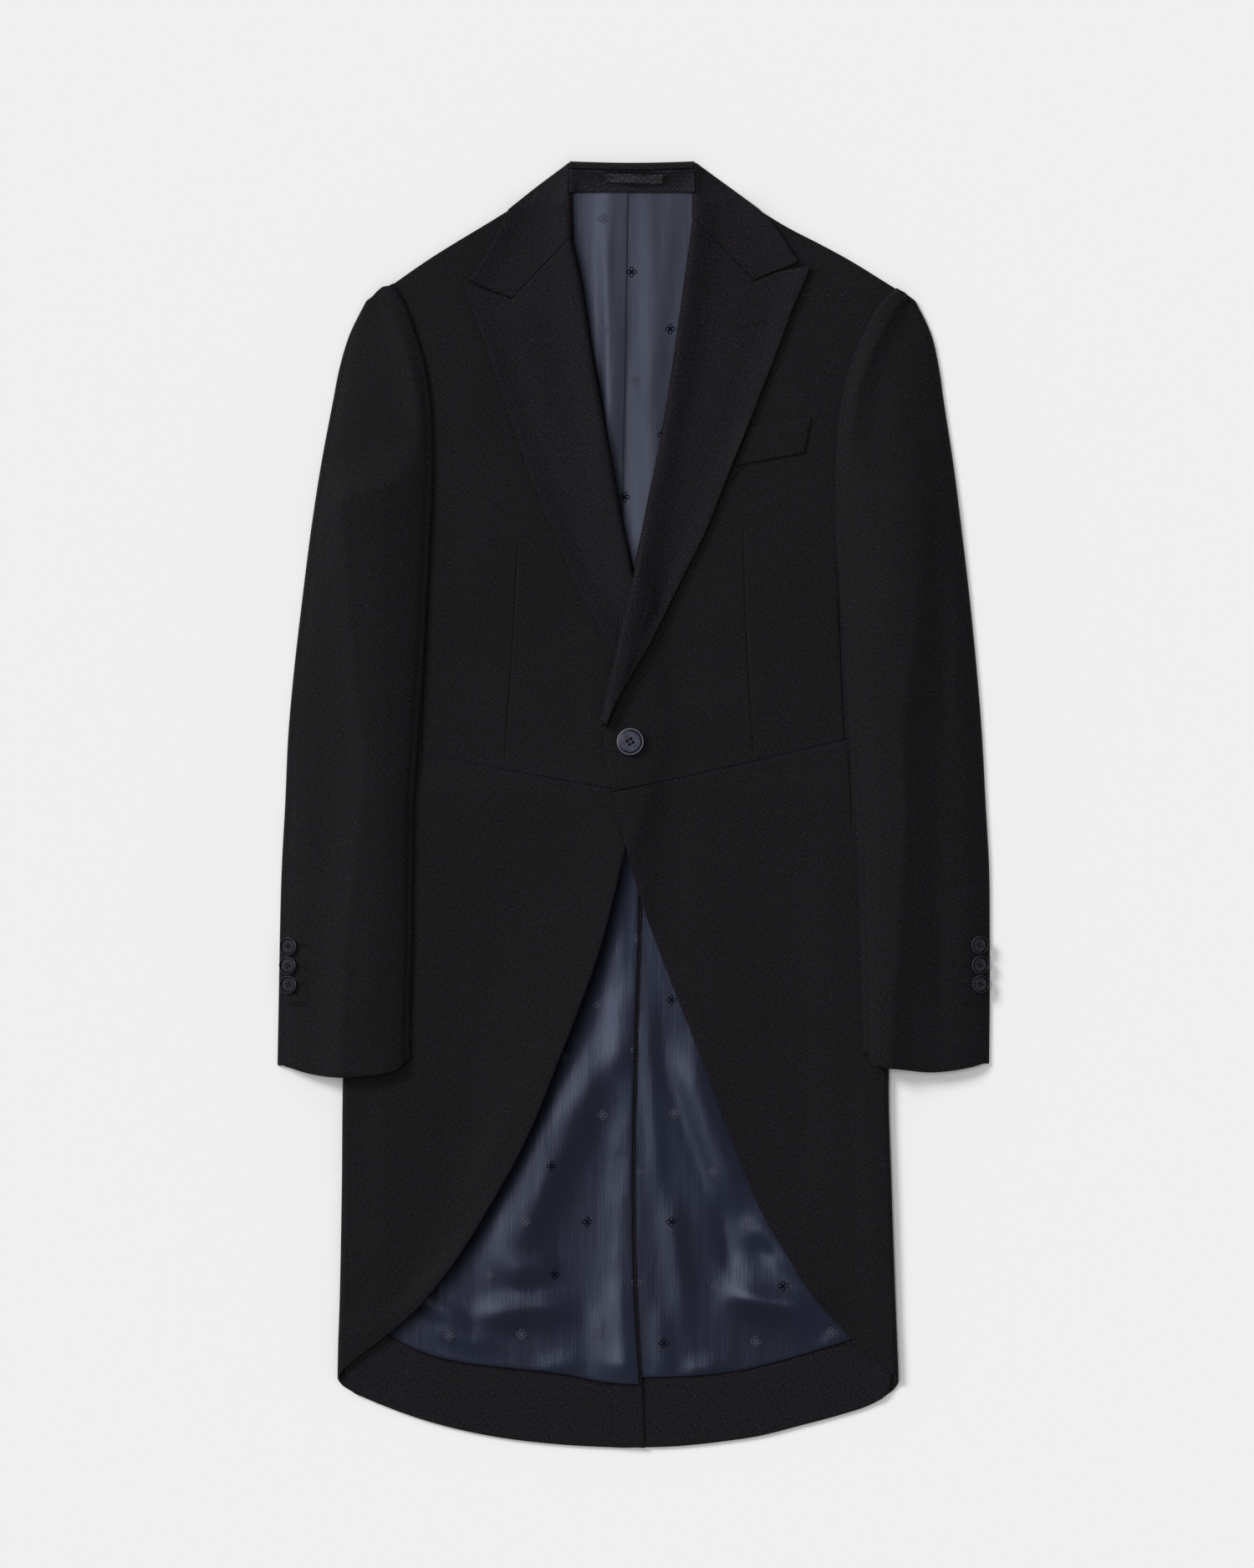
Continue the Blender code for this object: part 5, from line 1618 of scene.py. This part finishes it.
@dataclass
class Front(Part):
    """Forepart, side body and skirt of one side, draped as one cloth, and the breast welt."""

    side: Side
    armhole_rows: int = 36
    seam_rows: int = 66
    skirt_rows: int = 96
    waist_cols: int = 45
    shoulder_cols: int = 30
    side_cols: int = 12
    fold_steps: int = 9
    fold_inset: float = 4.0
    fold_slide: float = 0.65
    fold_seam: float = 0.22
    roll_stand: float = 2.6
    roll_width: float = 22.0
    roll_back: float = 3.9
    cutaway_width: float = 32.0
    side_lift: float = 2.7
    side_width: float = 55.0
    shoulder_drop: float = 1.3
    shoulder_width: float = 12.0
    body_grain: float = 0.06
    skirt_grain: float = 0.03
    welt_grain: float = 0.2
    welt_top: Points = ((97, 314), (149, 322.5))
    welt_foot: Points = ((83.5, 282), (143, 293))

    def bed(self, grid: Array) -> Array:
        """Lowest heights of the front: up at the folds and edges, down at the shoulder seam.

        Args:
            grid: the front's points in plan.

        Returns:
            A height for each point.
        """
        edges, x, y = EDGES[self.side], grid[..., 0], grid[..., 1]
        from_fold = np.abs(edges.fold_at(y) - x)
        beside = (1 - smooth((from_fold - 4) / self.side_width)) * smooth((330 - y) / 68)
        shoulder = distance_to(grid, edges.line("shoulder", 8))
        drop = self.shoulder_drop * (1 - smooth(shoulder / self.shoulder_width))
        roll = distance_to(grid, edges.line("roll", 12))
        rolled = self.roll_stand * (1 - smooth(roll / self.roll_width))
        cutaway = distance_to(grid, edges.line("cutaway", 24))
        along = smooth((-20 - y) / 60) * smooth((y + 470) / 70)
        stand = CUTAWAY_STAND[self.side] * (1 - smooth(cutaway / self.cutaway_width)) * along
        return FRONT_BED + self.side_lift * beside - drop + rolled + stand

    def side_fold(self, grid: Array, fold: Array, base: Array
                  ) -> tuple[Array, Array]:
        """Carries a front's outer column round the side fold and a little way under.

        Args:
            grid: the front's own points.
            fold: the line of the side fold.
            base: where the cloth ends, against the back.

        Returns:
            The inner points and their offsets, the front's own columns among them.
        """
        low = WALL.front
        z_top = grid[:, -1, 2]
        radius = (z_top - low) / 2
        centre = np.column_stack([grid[:, -1, :2], (z_top + low) / 2])
        up = np.tile([0.0, 0.0, WALL.front], (len(grid), 1))
        columns = [grid[:, j] for j in range(grid.shape[1])]
        offsets = [up for _ in columns]
        for k in range(1, self.fold_steps + 1):
            angle = math.pi / 2 - math.pi * k / self.fold_steps
            way = np.array([self.side.sign * math.cos(angle), 0, math.sin(angle)])
            point = centre + radius[:, None] * way
            point[:, 1] += self.fold_slide * k / self.fold_steps * (base[:, 1] - fold[:, 1])
            columns.append(point)
            offsets.append(np.tile(way * WALL.front, (len(grid), 1)))
        columns.append(np.column_stack([base, np.full(len(base), low)]))
        offsets.append(-up)
        return np.stack(columns, axis=1), np.stack(offsets, axis=1)

    def lay_cloths(self) -> Array:
        """Drapes the three cloths together and makes each of them.

        Returns:
            The forepart's grid.
        """
        side, shop, s, edges = self.side, self.shop, self.side.sign, EDGES[self.side]
        inner = joined(run([(edges.neck_roll[1][0], 503), edges.roll[0]], 12),
                       edges.line("roll", 72), edges.line("roll_end", 6),
                       edges.line("front_edge", 12))
        roll_foot = edges.roll[-1][1]
        inner[:, 0] += s * self.roll_back * smooth((inner[:, 1] - roll_foot + 17) / 16)
        outer = joined(edges.line("armhole", self.armhole_rows),
                       edges.line("side_seam", self.seam_rows))
        shoulder = list(edges.shoulder)
        top = joined(run([tuple(inner[0]), shoulder[0]], self.waist_cols - self.shoulder_cols),
                     run(shoulder[:-1] + [edges.armhole[0]], self.shoulder_cols))
        waist = edges.line("waist", self.waist_cols)
        forepart = patch(inner, outer, top, waist)

        fold = edges.line("fold", self.seam_rows)
        arc = fold - np.array([s * self.fold_inset, 0])
        side_waist = run([edges.side_waist[0], tuple(arc[-1])], self.side_cols)
        underarm = run(list(edges.underarm[:-1]) + [tuple(arc[0])], self.side_cols)
        body = patch(edges.line("side_seam", self.seam_rows), arc, underarm, side_waist)

        skirt_fold = edges.line("skirt_fold", self.skirt_rows)
        skirt_arc = skirt_fold - np.array([s * self.fold_inset, 0])
        cutaway = edges.line("cutaway", self.skirt_rows)
        foot = run([tuple(cutaway[-1]), tuple(skirt_arc[-1])], self.waist_cols + self.side_cols)
        skirt = patch(cutaway, skirt_arc, joined(waist, side_waist), foot)

        grids = [level(grid, self.bed(grid)) for grid in (forepart, body, skirt)]
        drape(grids, shop.table, FRONT_CREASES[side])
        forepart, body, skirt = grids
        body_base = edges.base_line("fold", self.seam_rows)
        skirt_base = edges.base_line("skirt_fold", self.skirt_rows)
        skirt_base[-1] = edges.hem[-1]
        wool = shop.wardrobe.wool
        shop.cloth(f"forepart_{side.value}", inset(forepart), WALL.front, wool,
                   dart=DARTS[side])
        points, way = self.side_fold(body, fold, body_base)
        shop.cloth(f"side_body_{side.value}", inset(points, self.fold_seam), way, wool,
                   self.body_grain * s)
        points, way = self.side_fold(skirt, skirt_fold, skirt_base)
        shop.cloth(f"skirt_{side.value}", inset(points, self.fold_seam), way, wool,
                   self.skirt_grain * s, dart=SKIRT_SEAMS[side])
        return forepart

    def lay_welt(self) -> None:
        """Lays the breast welt on the forepart."""
        ends = [run([high, low], 12) for high, low in zip(self.welt_top, self.welt_foot)]
        grid = level(patch(*ends, run(self.welt_top, 18), run(self.welt_foot, 18)), 0.0)
        drape([grid], self.shop.table, reach=3.0, turns=10)
        self.shop.cloth("breast_welt", grid, WALL.welt, self.shop.wardrobe.wool,
                        self.welt_grain)

    def build(self) -> None:
        """Lays the front, with the welt on the left one, and keeps the forepart for its lapel."""
        self.shop.foreparts[self.side] = self.lay_cloths()
        if self.side is Side.LEFT:
            self.lay_welt()


@dataclass
class Collar(Part):
    """Lapel and collar leaf of one side, draped as one cloth over the forepart."""

    side: Side
    lapel_rows: int = 72
    leaf_rows: int = 24
    gorge_cols: int = 22
    peak_cols: int = 16
    roll_steps: int = 7
    roll_centre: float = 3.6
    foot_rows: int = 14
    foot_share: float = 0.35
    neck_share: float = 0.1
    roll_lift: float = 3.0
    roll_width: float = 22.0
    edge_lift: float = 2.3
    edge_width: float = 18.0
    least_roll: float = 1.2
    lapel_grain: float = 0.36
    leaf_grain: float = 0.75

    def rolled_edge(self, grid: Array, low: Array) -> tuple[Array, Array]:
        """Adds a soft roll at the grid's inner edge, down to the cloth below.

        Args:
            grid: the lapel's or the leaf's points.
            low: height of the underside of the cloth below, for each row.

        Returns:
            The points and their offsets, the roll's own columns first.
        """
        wall = WALL.front
        radius = (grid[:, 0, 2] - low - wall) / 2
        centre = np.column_stack([grid[:, 0, :2], grid[:, 0, 2] - radius])
        points, ways = [], []
        for k in range(self.roll_steps, 0, -1):
            angle = math.pi / 2 - math.pi * k / self.roll_steps
            way = np.array([-self.side.sign * math.cos(angle), 0, math.sin(angle)])
            points.append(centre + radius[:, None] * way)
            ways.append(np.tile(way * wall, (len(grid), 1)))
        up = np.tile([0.0, 0.0, wall], (len(grid), 1))
        points += [grid[:, j] for j in range(grid.shape[1])]
        ways += [up for _ in range(grid.shape[1])]
        return np.stack(points, axis=1), np.stack(ways, axis=1)

    def lifted(self, grid: Array, roll: Array, edge: Array) -> Array:
        """Gives a plan grid its heights over the forepart, more at its roll and at its edge.

        Args:
            grid: the cloth's points in plan.
            roll: the line that it turns over at.
            edge: its free edge.

        Returns:
            The points in space.
        """
        lift = self.roll_lift * (1 - smooth(distance_to(grid, roll) / self.roll_width))
        lift += self.edge_lift * (1 - smooth(distance_to(grid, edge) / self.edge_width))
        bed = self.shop.table.widened(2.0)[self.shop.table.places(grid)]
        return level(grid, bed + WALL.gap + lift)

    def build(self) -> None:
        """Lays the lapel and the collar leaf, which meet at the gorge."""
        side, shop, edges = self.side, self.shop, EDGES[self.side]
        shift = np.array([side.sign * self.roll_centre, 0])
        closing = np.interp(np.arange(self.lapel_rows + 1),
                            [self.lapel_rows - self.foot_rows, self.lapel_rows],
                            [1.0, self.foot_share])[:, None]
        roll = edges.line("roll", self.lapel_rows) + shift * closing
        gorge = run([tuple(roll[0]), edges.gorge[1]], self.gorge_cols)
        lapel_edge = edges.line("lapel_edge", self.lapel_rows)
        cols = self.gorge_cols + self.peak_cols
        foot = run([tuple(roll[-1]), tuple(lapel_edge[-1])], cols)
        peak = joined(gorge, edges.line("peak", self.peak_cols))
        lapel = patch(roll, lapel_edge, peak, foot)

        neck = edges.line("neck_roll", self.leaf_rows)
        neck += shift * np.linspace(1.0, self.neck_share, self.leaf_rows + 1)[:, None]
        neck[0] = roll[0]
        leaf_edge = edges.line("collar_edge", self.leaf_rows)
        collar_top = run([tuple(neck[-1])] + list(edges.collar_top[1:]), cols)
        notch = joined(gorge, edges.line("collar_end", self.peak_cols))
        leaf = patch(neck, leaf_edge, notch, collar_top)

        grids = [self.lifted(lapel, roll, lapel_edge), self.lifted(leaf, neck, leaf_edge)]
        low = shop.foreparts[side][12:85, 0, 2]
        leaf_low = np.interp(np.arange(self.leaf_rows + 1), [0, 8], [low[0], FRONT_BED + 0.3])
        for grid, edge_low in zip(grids, (low, leaf_low)):
            grid[:, 0, 2] = np.maximum(grid[:, 0, 2], edge_low + WALL.front + self.least_roll)
        drape(grids, shop.table, LAPEL_CREASES[side], turns=12)
        facing = shop.wardrobe.facing
        points, way = self.rolled_edge(grids[0], low)
        shop.cloth(f"lapel_{side.value}", inset(points), way, facing,
                   self.lapel_grain * side.sign)
        points, way = self.rolled_edge(grids[1], leaf_low)
        shop.cloth(f"collar_leaf_{side.value}", inset(points), way, facing,
                   self.leaf_grain * side.sign)


@dataclass
class Neck(Part):
    """Collar stand inside the neck, the collar's fold behind it and the hanger loop."""

    cols: int = 36
    fold_steps: int = 9
    ends: tuple[float, float] = (-53.5, 51.5)
    foot_ends: tuple[float, float] = (-58.0, 56.0)
    foot_rows: tuple[float, float] = (514.6, 528.0)
    bow: float = 1.2
    fold_y: float = 532.6
    fold_radius: float = 4.4
    lip: float = 1.1
    stand_inset: float = 2.6
    stand_foot: float = 510.6
    stand_seam: float = 0.1
    loop_line: Points = ((-24.0, 522.6), (0, 521.9), (26.0, 521.4))
    loop_width: float = 7.2
    loop_arch: float = 2.0

    def across(self, ends: tuple[float, float]) -> Array:
        """X of each column between two ends."""
        return np.linspace(*ends, self.cols + 1)

    def curve(self) -> Array:
        """How far each column of the collar's top bows down."""
        return self.bow * np.cos(self.across((-math.pi / 2, math.pi / 2)))

    def lay_fold(self) -> None:
        """Lays the back of the collar: up from the back, over its fold and a little way down."""
        count = self.cols + 1
        wide, narrow = self.across(self.foot_ends), self.across(self.ends)
        radius = self.fold_radius - WALL.front
        rows = [np.column_stack([wide, np.full(count, y), np.full(count, WALL.front)])
                for y in np.linspace(*self.foot_rows, 5)]
        ways = [np.tile([0, 0, -WALL.front], (count, 1)) for _ in rows]
        for k in range(self.fold_steps + 1):
            angle = -math.pi / 2 + math.pi * k / self.fold_steps
            way = np.array([0, math.cos(angle), math.sin(angle)])
            y = self.fold_y - self.curve() + radius * way[1]
            share = float(smooth(1.0 - k / 2))
            x = share * wide + (1 - share) * narrow
            height = self.fold_radius + radius * way[2]
            rows.append(np.column_stack([x, y, np.full(count, height)]))
            ways.append(np.tile(way * WALL.front, (count, 1)))
        for reach in (1.2, 2.2):
            rows.append(rows[-1] - [0, self.lip, 0.04 * reach])
            ways.append(ways[-1])
        self.shop.cloth("collar_back", np.stack(rows), np.stack(ways), self.shop.wardrobe.facing)

    def lay_stand(self) -> None:
        """Lays the stand inside the neck, from the fold down to the lining."""
        xs = self.across(self.ends)
        top = np.column_stack([xs, self.fold_y - self.stand_inset - self.curve()])
        foot = np.column_stack([xs, np.full(self.cols + 1, self.stand_foot)])
        ends = [run([tuple(top[k]), tuple(foot[k])], 8) for k in (0, -1)]
        stand = inset(patch(ends[0], ends[1], top, foot), self.stand_seam)
        high = self.fold_radius + (self.fold_radius - WALL.front)
        stand = level(stand, np.linspace(high, FRONT_BED, 9)[:, None])
        drape([stand], self.shop.table, reach=1.5, turns=4)
        self.shop.cloth("collar_stand", stand, WALL.facing, self.shop.wardrobe.stand)

    def lay_loop(self) -> None:
        """Lays the hanger loop, which arches a little off the stand."""
        steps, middle = 8, run(self.loop_line, 30)
        loop = np.stack([middle + [0, self.loop_width * (0.5 - k / steps)]
                         for k in range(steps + 1)])
        loop = level(loop, FRONT_BED + WALL.facing + WALL.gap)
        drape([loop], self.shop.table, reach=1.5, turns=4)
        loop[..., 2] += self.loop_arch * np.sin(np.linspace(0, math.pi, len(middle))) ** 2
        self.shop.cloth("hanger_loop", loop, WALL.lining, self.shop.wardrobe.ribbon)

    def build(self) -> None:
        """Lays the collar's fold, the stand and the loop."""
        self.lay_fold()
        self.lay_stand()
        self.lay_loop()


@dataclass
class Sleeve(Part):
    """Undersleeve on the table and the body's side, and the rounded topsleeve over it."""

    side: Side
    rows: int = 150
    cols: int = 34
    edge_steps: int = 7
    rim: float = 4.5
    rim_share: float = 0.22
    puff: float = 8.0
    puff_rows: int = 28
    roundness: float = 0.62
    play: float = 0.35
    cuff_in: float = 1.5
    cuff_out: float = 3.0
    least_edge: float = 0.8
    least_reach: float = 0.3
    under_grain: float = 0.12
    top_grain: float = 0.09

    def outline(self) -> Array:
        """Outlines the whole sleeve.

        Returns:
            A grid of points in plan, from its inner to its outer edge.
        """
        edges = EDGES[self.side]
        outer = edges.line("sleeve_outer", self.rows)
        head = edges.line("sleeve_head", self.cols)
        head[-1] = outer[0]
        return patch(edges.line("sleeve_inner", self.rows), outer, head,
                     edges.line("cuff", self.cols))

    def lay_under(self, plan: Array) -> Array:
        """Drapes the undersleeve over the table and the body's side.

        Args:
            plan: its points in plan.

        Returns:
            Its points in space.
        """
        under = level(plan, 0.0)
        drape([under], self.shop.table, reach=4.5, turns=90)
        self.shop.cloth(f"undersleeve_{self.side.value}", under, WALL.under_sleeve,
                        self.shop.wardrobe.wool, self.under_grain * self.side.sign)
        return under

    def puffed(self, under: Array) -> Array:
        """The topsleeve's flat part: the undersleeve's points, lifted into a soft round.

        Args:
            under: the undersleeve's points in space.

        Returns:
            The topsleeve's points, on its lower face.
        """
        share = np.linspace(0, 1, self.cols + 1)[None, :]
        puff = self.puff * smooth(np.arange(self.rows + 1) / self.puff_rows)[:, None]
        rounded = (1 - (2 * share - 1) ** 2) ** self.roundness
        relief = creased(under, SLEEVE_CREASES[self.side]) * np.minimum(1.0, 2.4 * rounded)
        rest = under[..., 2] + WALL.under_sleeve + self.play
        over = np.dstack([under[..., :2], rest + np.maximum(puff * rounded + relief, 0.0)])
        over[-1, :, 1] -= self.cuff_out
        return over

    def build(self) -> None:
        """Lays the undersleeve, then the topsleeve with its two edges rolled down to it."""
        full = self.outline()
        width = np.linalg.norm(full[:, -1] - full[:, 0], axis=1)
        rim = np.minimum(self.rim, self.rim_share * width)
        inward = (full[:, -1] - full[:, 0]) / width[:, None]
        middle = (full[:, 0] + full[:, -1])[:, None] / 2
        squeeze = (1 - 2 * rim / width)[:, None, None]
        plan = middle + (full - middle) * squeeze
        plan[-1, :, 1] += self.cuff_in
        under = self.lay_under(plan)
        over = self.puffed(under)
        columns = [over[:, j] for j in range(self.cols + 1)]
        ways = [np.tile([0.0, 0.0, WALL.top_sleeve], (self.rows + 1, 1)) for _ in columns]
        for column, sign in ((0, -1), (-1, 1)):
            at, base, edge = over[:, column], under[:, column, 2], full[:, column]
            ground = np.array([self.shop.table.top(x, y, 3.0)
                               for x, y in edge + sign * 2 * inward])
            foot = np.where(ground > 0.01, np.maximum(ground + WALL.gap, base), 0.0)
            foot = np.minimum(foot, at[:, 2] - self.least_edge)
            reach = (rim - WALL.top_sleeve)[:, None].clip(self.least_reach)
            for k in range(1, self.edge_steps + 1):
                angle = math.pi / 2 * k / self.edge_steps
                out, up = math.sin(angle), math.cos(angle)
                flat = at[:, :2] + sign * inward * reach * out
                point = np.column_stack([flat, foot + (at[:, 2] - foot) * up])
                way = np.column_stack([sign * inward * out, np.full(self.rows + 1, up)])
                place = 0 if sign < 0 else len(columns)
                columns.insert(place, point)
                ways.insert(place, way * WALL.top_sleeve)
        self.shop.cloth(f"topsleeve_{self.side.value}", np.stack(columns, axis=1),
                        np.stack(ways, axis=1), self.shop.wardrobe.wool,
                        self.top_grain * self.side.sign)


@dataclass
class Button(Part):
    """A turned button with its four holes and the thread through them, seated on the cloth."""

    node: str
    x: float
    y: float
    sizes: ButtonSizes
    lean: float = 0.0
    probes: int = 24
    sharp: float = 50.0

    def seat(self, tilt: Array) -> Array:
        """Finds where the button rests on the highest cloth below it.

        Args:
            tilt: its turn, as a matrix.

        Returns:
            The place of its middle, in millimetres.
        """
        lift = 0.0
        for turn in np.linspace(0, 2 * math.pi, self.probes, endpoint=False):
            for share in (0.0, 0.5, 0.9):
                reach = self.sizes.radius * share
                foot = tilt @ [reach * math.cos(turn), reach * math.sin(turn), 0.0]
                top = self.shop.table.top(self.x + foot[0], self.y + foot[1], 0.9)
                lift = max(lift, top + WALL.gap - foot[2])
        return np.array([self.x, self.y, lift])

    def build(self) -> None:
        """Turns the button, cuts its holes, and ties it with thread."""
        shop, sizes = self.shop, self.sizes
        points, faces = sizes.drilled()
        cos, sin = math.cos(self.lean), math.sin(self.lean)
        tilt = np.array([[cos, 0, sin], [0, 1, 0], [-sin, 0, cos]])
        place = self.seat(tilt)
        # the cuff buttons take the horn painted darker
        finish = shop.wardrobe.horn_painted_darker if "cuff" in self.node else shop.wardrobe.horn
        made = shop.mesh(f"{self.node}_turned", points @ tilt.T + place, faces, finish)
        made.data.set_sharp_from_angle(angle=math.radians(self.sharp))
        turning = made.data.attributes.new("turning", "FLOAT", "POINT")
        shares = np.linalg.norm(points[:, :2], axis=1) / sizes.radius
        turning.data.foreach_set("value", shares.astype(np.float32))
        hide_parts(self.node)
        shop.dress(made, "button")
        strands = [tube(strand @ tilt.T + place, sizes.thread) for strand in sizes.strands()]
        count = len(strands[0][0])
        tied = [[k + n * count for k in face] for n, s in enumerate(strands) for face in s[1]]
        thread = shop.mesh(f"{self.node}_thread", np.concatenate([s[0] for s in strands]), tied,
                           shop.wardrobe.thread)
        shop.dress(thread, "button")


@dataclass
class Needlework(Part):
    """Buttonholes, tacks and the fine stitches along the linings."""

    hole_half: float = 1.05
    bar_out: float = 0.4
    raised: float = 0.12
    fell: float = 1.6
    lapel_hole: Points = ((86.5, 396), (109.5, 403.5))
    front_hole: Points = ((14.2, 54.2), (8.8, 53.6))
    cuff_hole: tuple[float, float] = (273.6, 283.5)
    pleat_tack: Points = ((-6.8, 512), (-1.0, 512))
    welt_tacks: Sequence[Points] = (((96.4, 312.6), (84.4, 283.2)),
                                    ((148.2, 321.2), (142.4, 294.4)))
    loop_tacks: Sequence[Points] = (((-22.8, 525.8), (-22.8, 519.2)),
                                    ((24.8, 524.6), (24.8, 518.0)))

    def buttonhole(self, start: tuple[float, float], end: tuple[float, float]
                   ) -> list[Array]:
        """The two rows and the end bar of a worked buttonhole, as lines on the cloth.

        Args:
            start: the end with the bar, in plan.
            end: the other end.

        Returns:
            Three lines of points in space.
        """
        a, b = np.array(start, float), np.array(end, float)
        way = (b - a) / np.linalg.norm(b - a)
        across = np.array([-way[1], way[0]]) * self.hole_half
        rows = [self.shop.on_cloth([tuple(a + s * across), tuple(b + s * across)], 0.5,
                                   self.raised) for s in (-1, 1)]
        bar = [tuple(a + s * across - self.bar_out * way) for s in (-1, 1)]
        return rows + [self.shop.on_cloth(bar, 0.4, self.raised)]

    def build(self) -> None:
        """Sews each row of stitches on the finished coat."""
        sew, on_cloth = self.shop.sew, self.shop.on_cloth
        sew("lapel_buttonhole", self.buttonhole(*self.lapel_hole), OVERCAST)
        sew("front_buttonhole", self.buttonhole(*self.front_hole), OVERCAST)
        for side in Side:
            s, (near, far) = side.sign, self.cuff_hole
            lines: list[Array] = []
            for x0, x1, y in [(near, far, y) for y in CUFF_HOLES[side]] + [LAST_CUFF_HOLE[side]]:
                lines += self.buttonhole((s * x0, y), (s * x1, y))
            sew(f"cuff_buttonholes_{side.value}", lines, CUFF_WORK)
            hem = [(x, y + self.fell) for x, y in EDGES[side].lining_hem[1:-1]]
            sew(f"lining_fell_{side.value}", [on_cloth(hem, 1.5)], FELLING)
        sew("pleat_tack", [on_cloth(self.pleat_tack, 0.5, 0.1)], OVERCAST)
        sew("welt_tacks", [on_cloth(line, 0.8) for line in self.welt_tacks], FELLING)
        sew("hanger_tacks", [on_cloth(line, 0.5, 0.1) for line in self.loop_tacks], OVERCAST)


@dataclass(frozen=True)
class Lamp:
    """A wide soft light far away: its lean from straight above and its turn about that."""

    name: str
    energy: float
    spread: float
    lean: float
    turn: float

    def light(self) -> None:
        """Hangs the lamp in the scene."""
        light = bpy.data.lights.new(self.name, "SUN")
        light.energy = self.energy
        light.angle = math.radians(self.spread)
        shone = bpy.data.objects.new(self.name, light)
        shone.rotation_euler = (0.0, math.radians(self.lean), math.radians(self.turn))
        bpy.context.scene.collection.objects.link(shone)


@dataclass(frozen=True)
class Studio:
    """Camera straight above, soft lights and a pale ground; sizes are in metres."""

    height: float = 1.3125
    x: float = -0.00551
    y: float = 0.01737
    distance: float = 6.0
    sensor: float = 36.0
    far: float = 20.0
    sky: float = 0.374
    ground: float = 4.0
    ground_top: float = -0.0003
    ground_foot: float = -0.0203
    lamps: tuple[Lamp, ...] = (Lamp("key", 2.3, 20.0, -56.0, -38.0),
                               Lamp("top_light", 0.75, 22.0, -17.0, -20.0))

    def light(self) -> None:
        """Sets the sky and the lamps."""
        scene = bpy.context.scene
        scene.view_settings.view_transform = "Standard"
        scene.view_settings.look = "None"
        world = bpy.data.worlds.new("studio")
        world.use_nodes = True
        sky = world.node_tree.nodes["Background"]
        sky.inputs["Color"].default_value = (1.0, 1.0, 1.0, 1.0)
        sky.inputs["Strength"].default_value = self.sky
        scene.world = world
        for lamp in self.lamps:
            lamp.light()

    def spread_ground(self, paper: Material) -> None:
        """Makes the ground, a thin slab whose top is just under the coat.

        Args:
            paper: its material.
        """
        half = self.ground / 2
        corners = [(x * half, y * half, z) for z in (self.ground_foot, self.ground_top)
                   for y in (-1, 1) for x in (-1, 1)]
        faces = [(0, 2, 3, 1), (4, 5, 7, 6), (0, 1, 5, 4), (2, 6, 7, 3), (0, 4, 6, 2), (1, 3, 7, 5)]
        mesh = bpy.data.meshes.new("ground")
        mesh.from_pydata(corners, [], faces)
        mesh.materials.append(paper)
        ground = bpy.data.objects.new("ground", mesh)
        bpy.context.scene.collection.objects.link(ground)

    def place_camera(self) -> None:
        """Hangs the camera over the coat, with the height of its frame on the ground."""
        lens = bpy.data.cameras.new("camera")
        lens.sensor_width = self.sensor
        lens.lens = self.sensor * self.distance / self.height
        lens.clip_end = self.far
        camera = bpy.data.objects.new("camera", lens)
        camera.location = (self.x, self.y, self.distance)
        bpy.context.scene.collection.objects.link(camera)
        bpy.context.scene.camera = camera

    def set_up(self, paper: Material) -> None:
        """Makes the lights, the ground and the camera.

        Args:
            paper: the ground's material.
        """
        self.light()
        self.spread_ground(paper)
        self.place_camera()


def parts_in_order(shop: Workshop) -> list[Part]:
    """The coat's parts in the order that they are laid in.

    Args:
        shop: where they are made.

    Returns:
        The parts, from the cloth on the table to the last stitches.
    """
    parts: list[Part] = [Backs(shop), Linings(shop)]
    for side in Side:
        parts += [Front(shop, side), Collar(shop, side)]
    parts += [Neck(shop), Button(shop, "front_button", *FRONT_BUTTON, FRONT_BUTTON_SIZES)]
    for side in Side:
        parts.append(Sleeve(shop, side))
        for number, (x, y) in enumerate(EDGES[side].cuff_buttons, start=1):
            parts.append(Button(shop, f"cuff_button_{side.value}_{number}", x, y,
                                CUFF_BUTTON_SIZES, CUFF_LEAN * side.sign))
    return parts + [Needlework(shop)]


def main() -> None:
    logging.basicConfig(level=logging.INFO)
    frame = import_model()
    log.info("the frame has %d nodes", len(frame["nodes"]))
    shop = Workshop()
    for part in parts_in_order(shop):
        done = len(shop.pieces)
        part.build()
        for piece in shop.pieces[done:]:
            log.info("%s: %s, %d faces", type(part).__name__, piece.name,
                     len(piece.data.polygons))
    Studio().set_up(shop.wardrobe.paper)


if __name__ == "__main__":
    main()
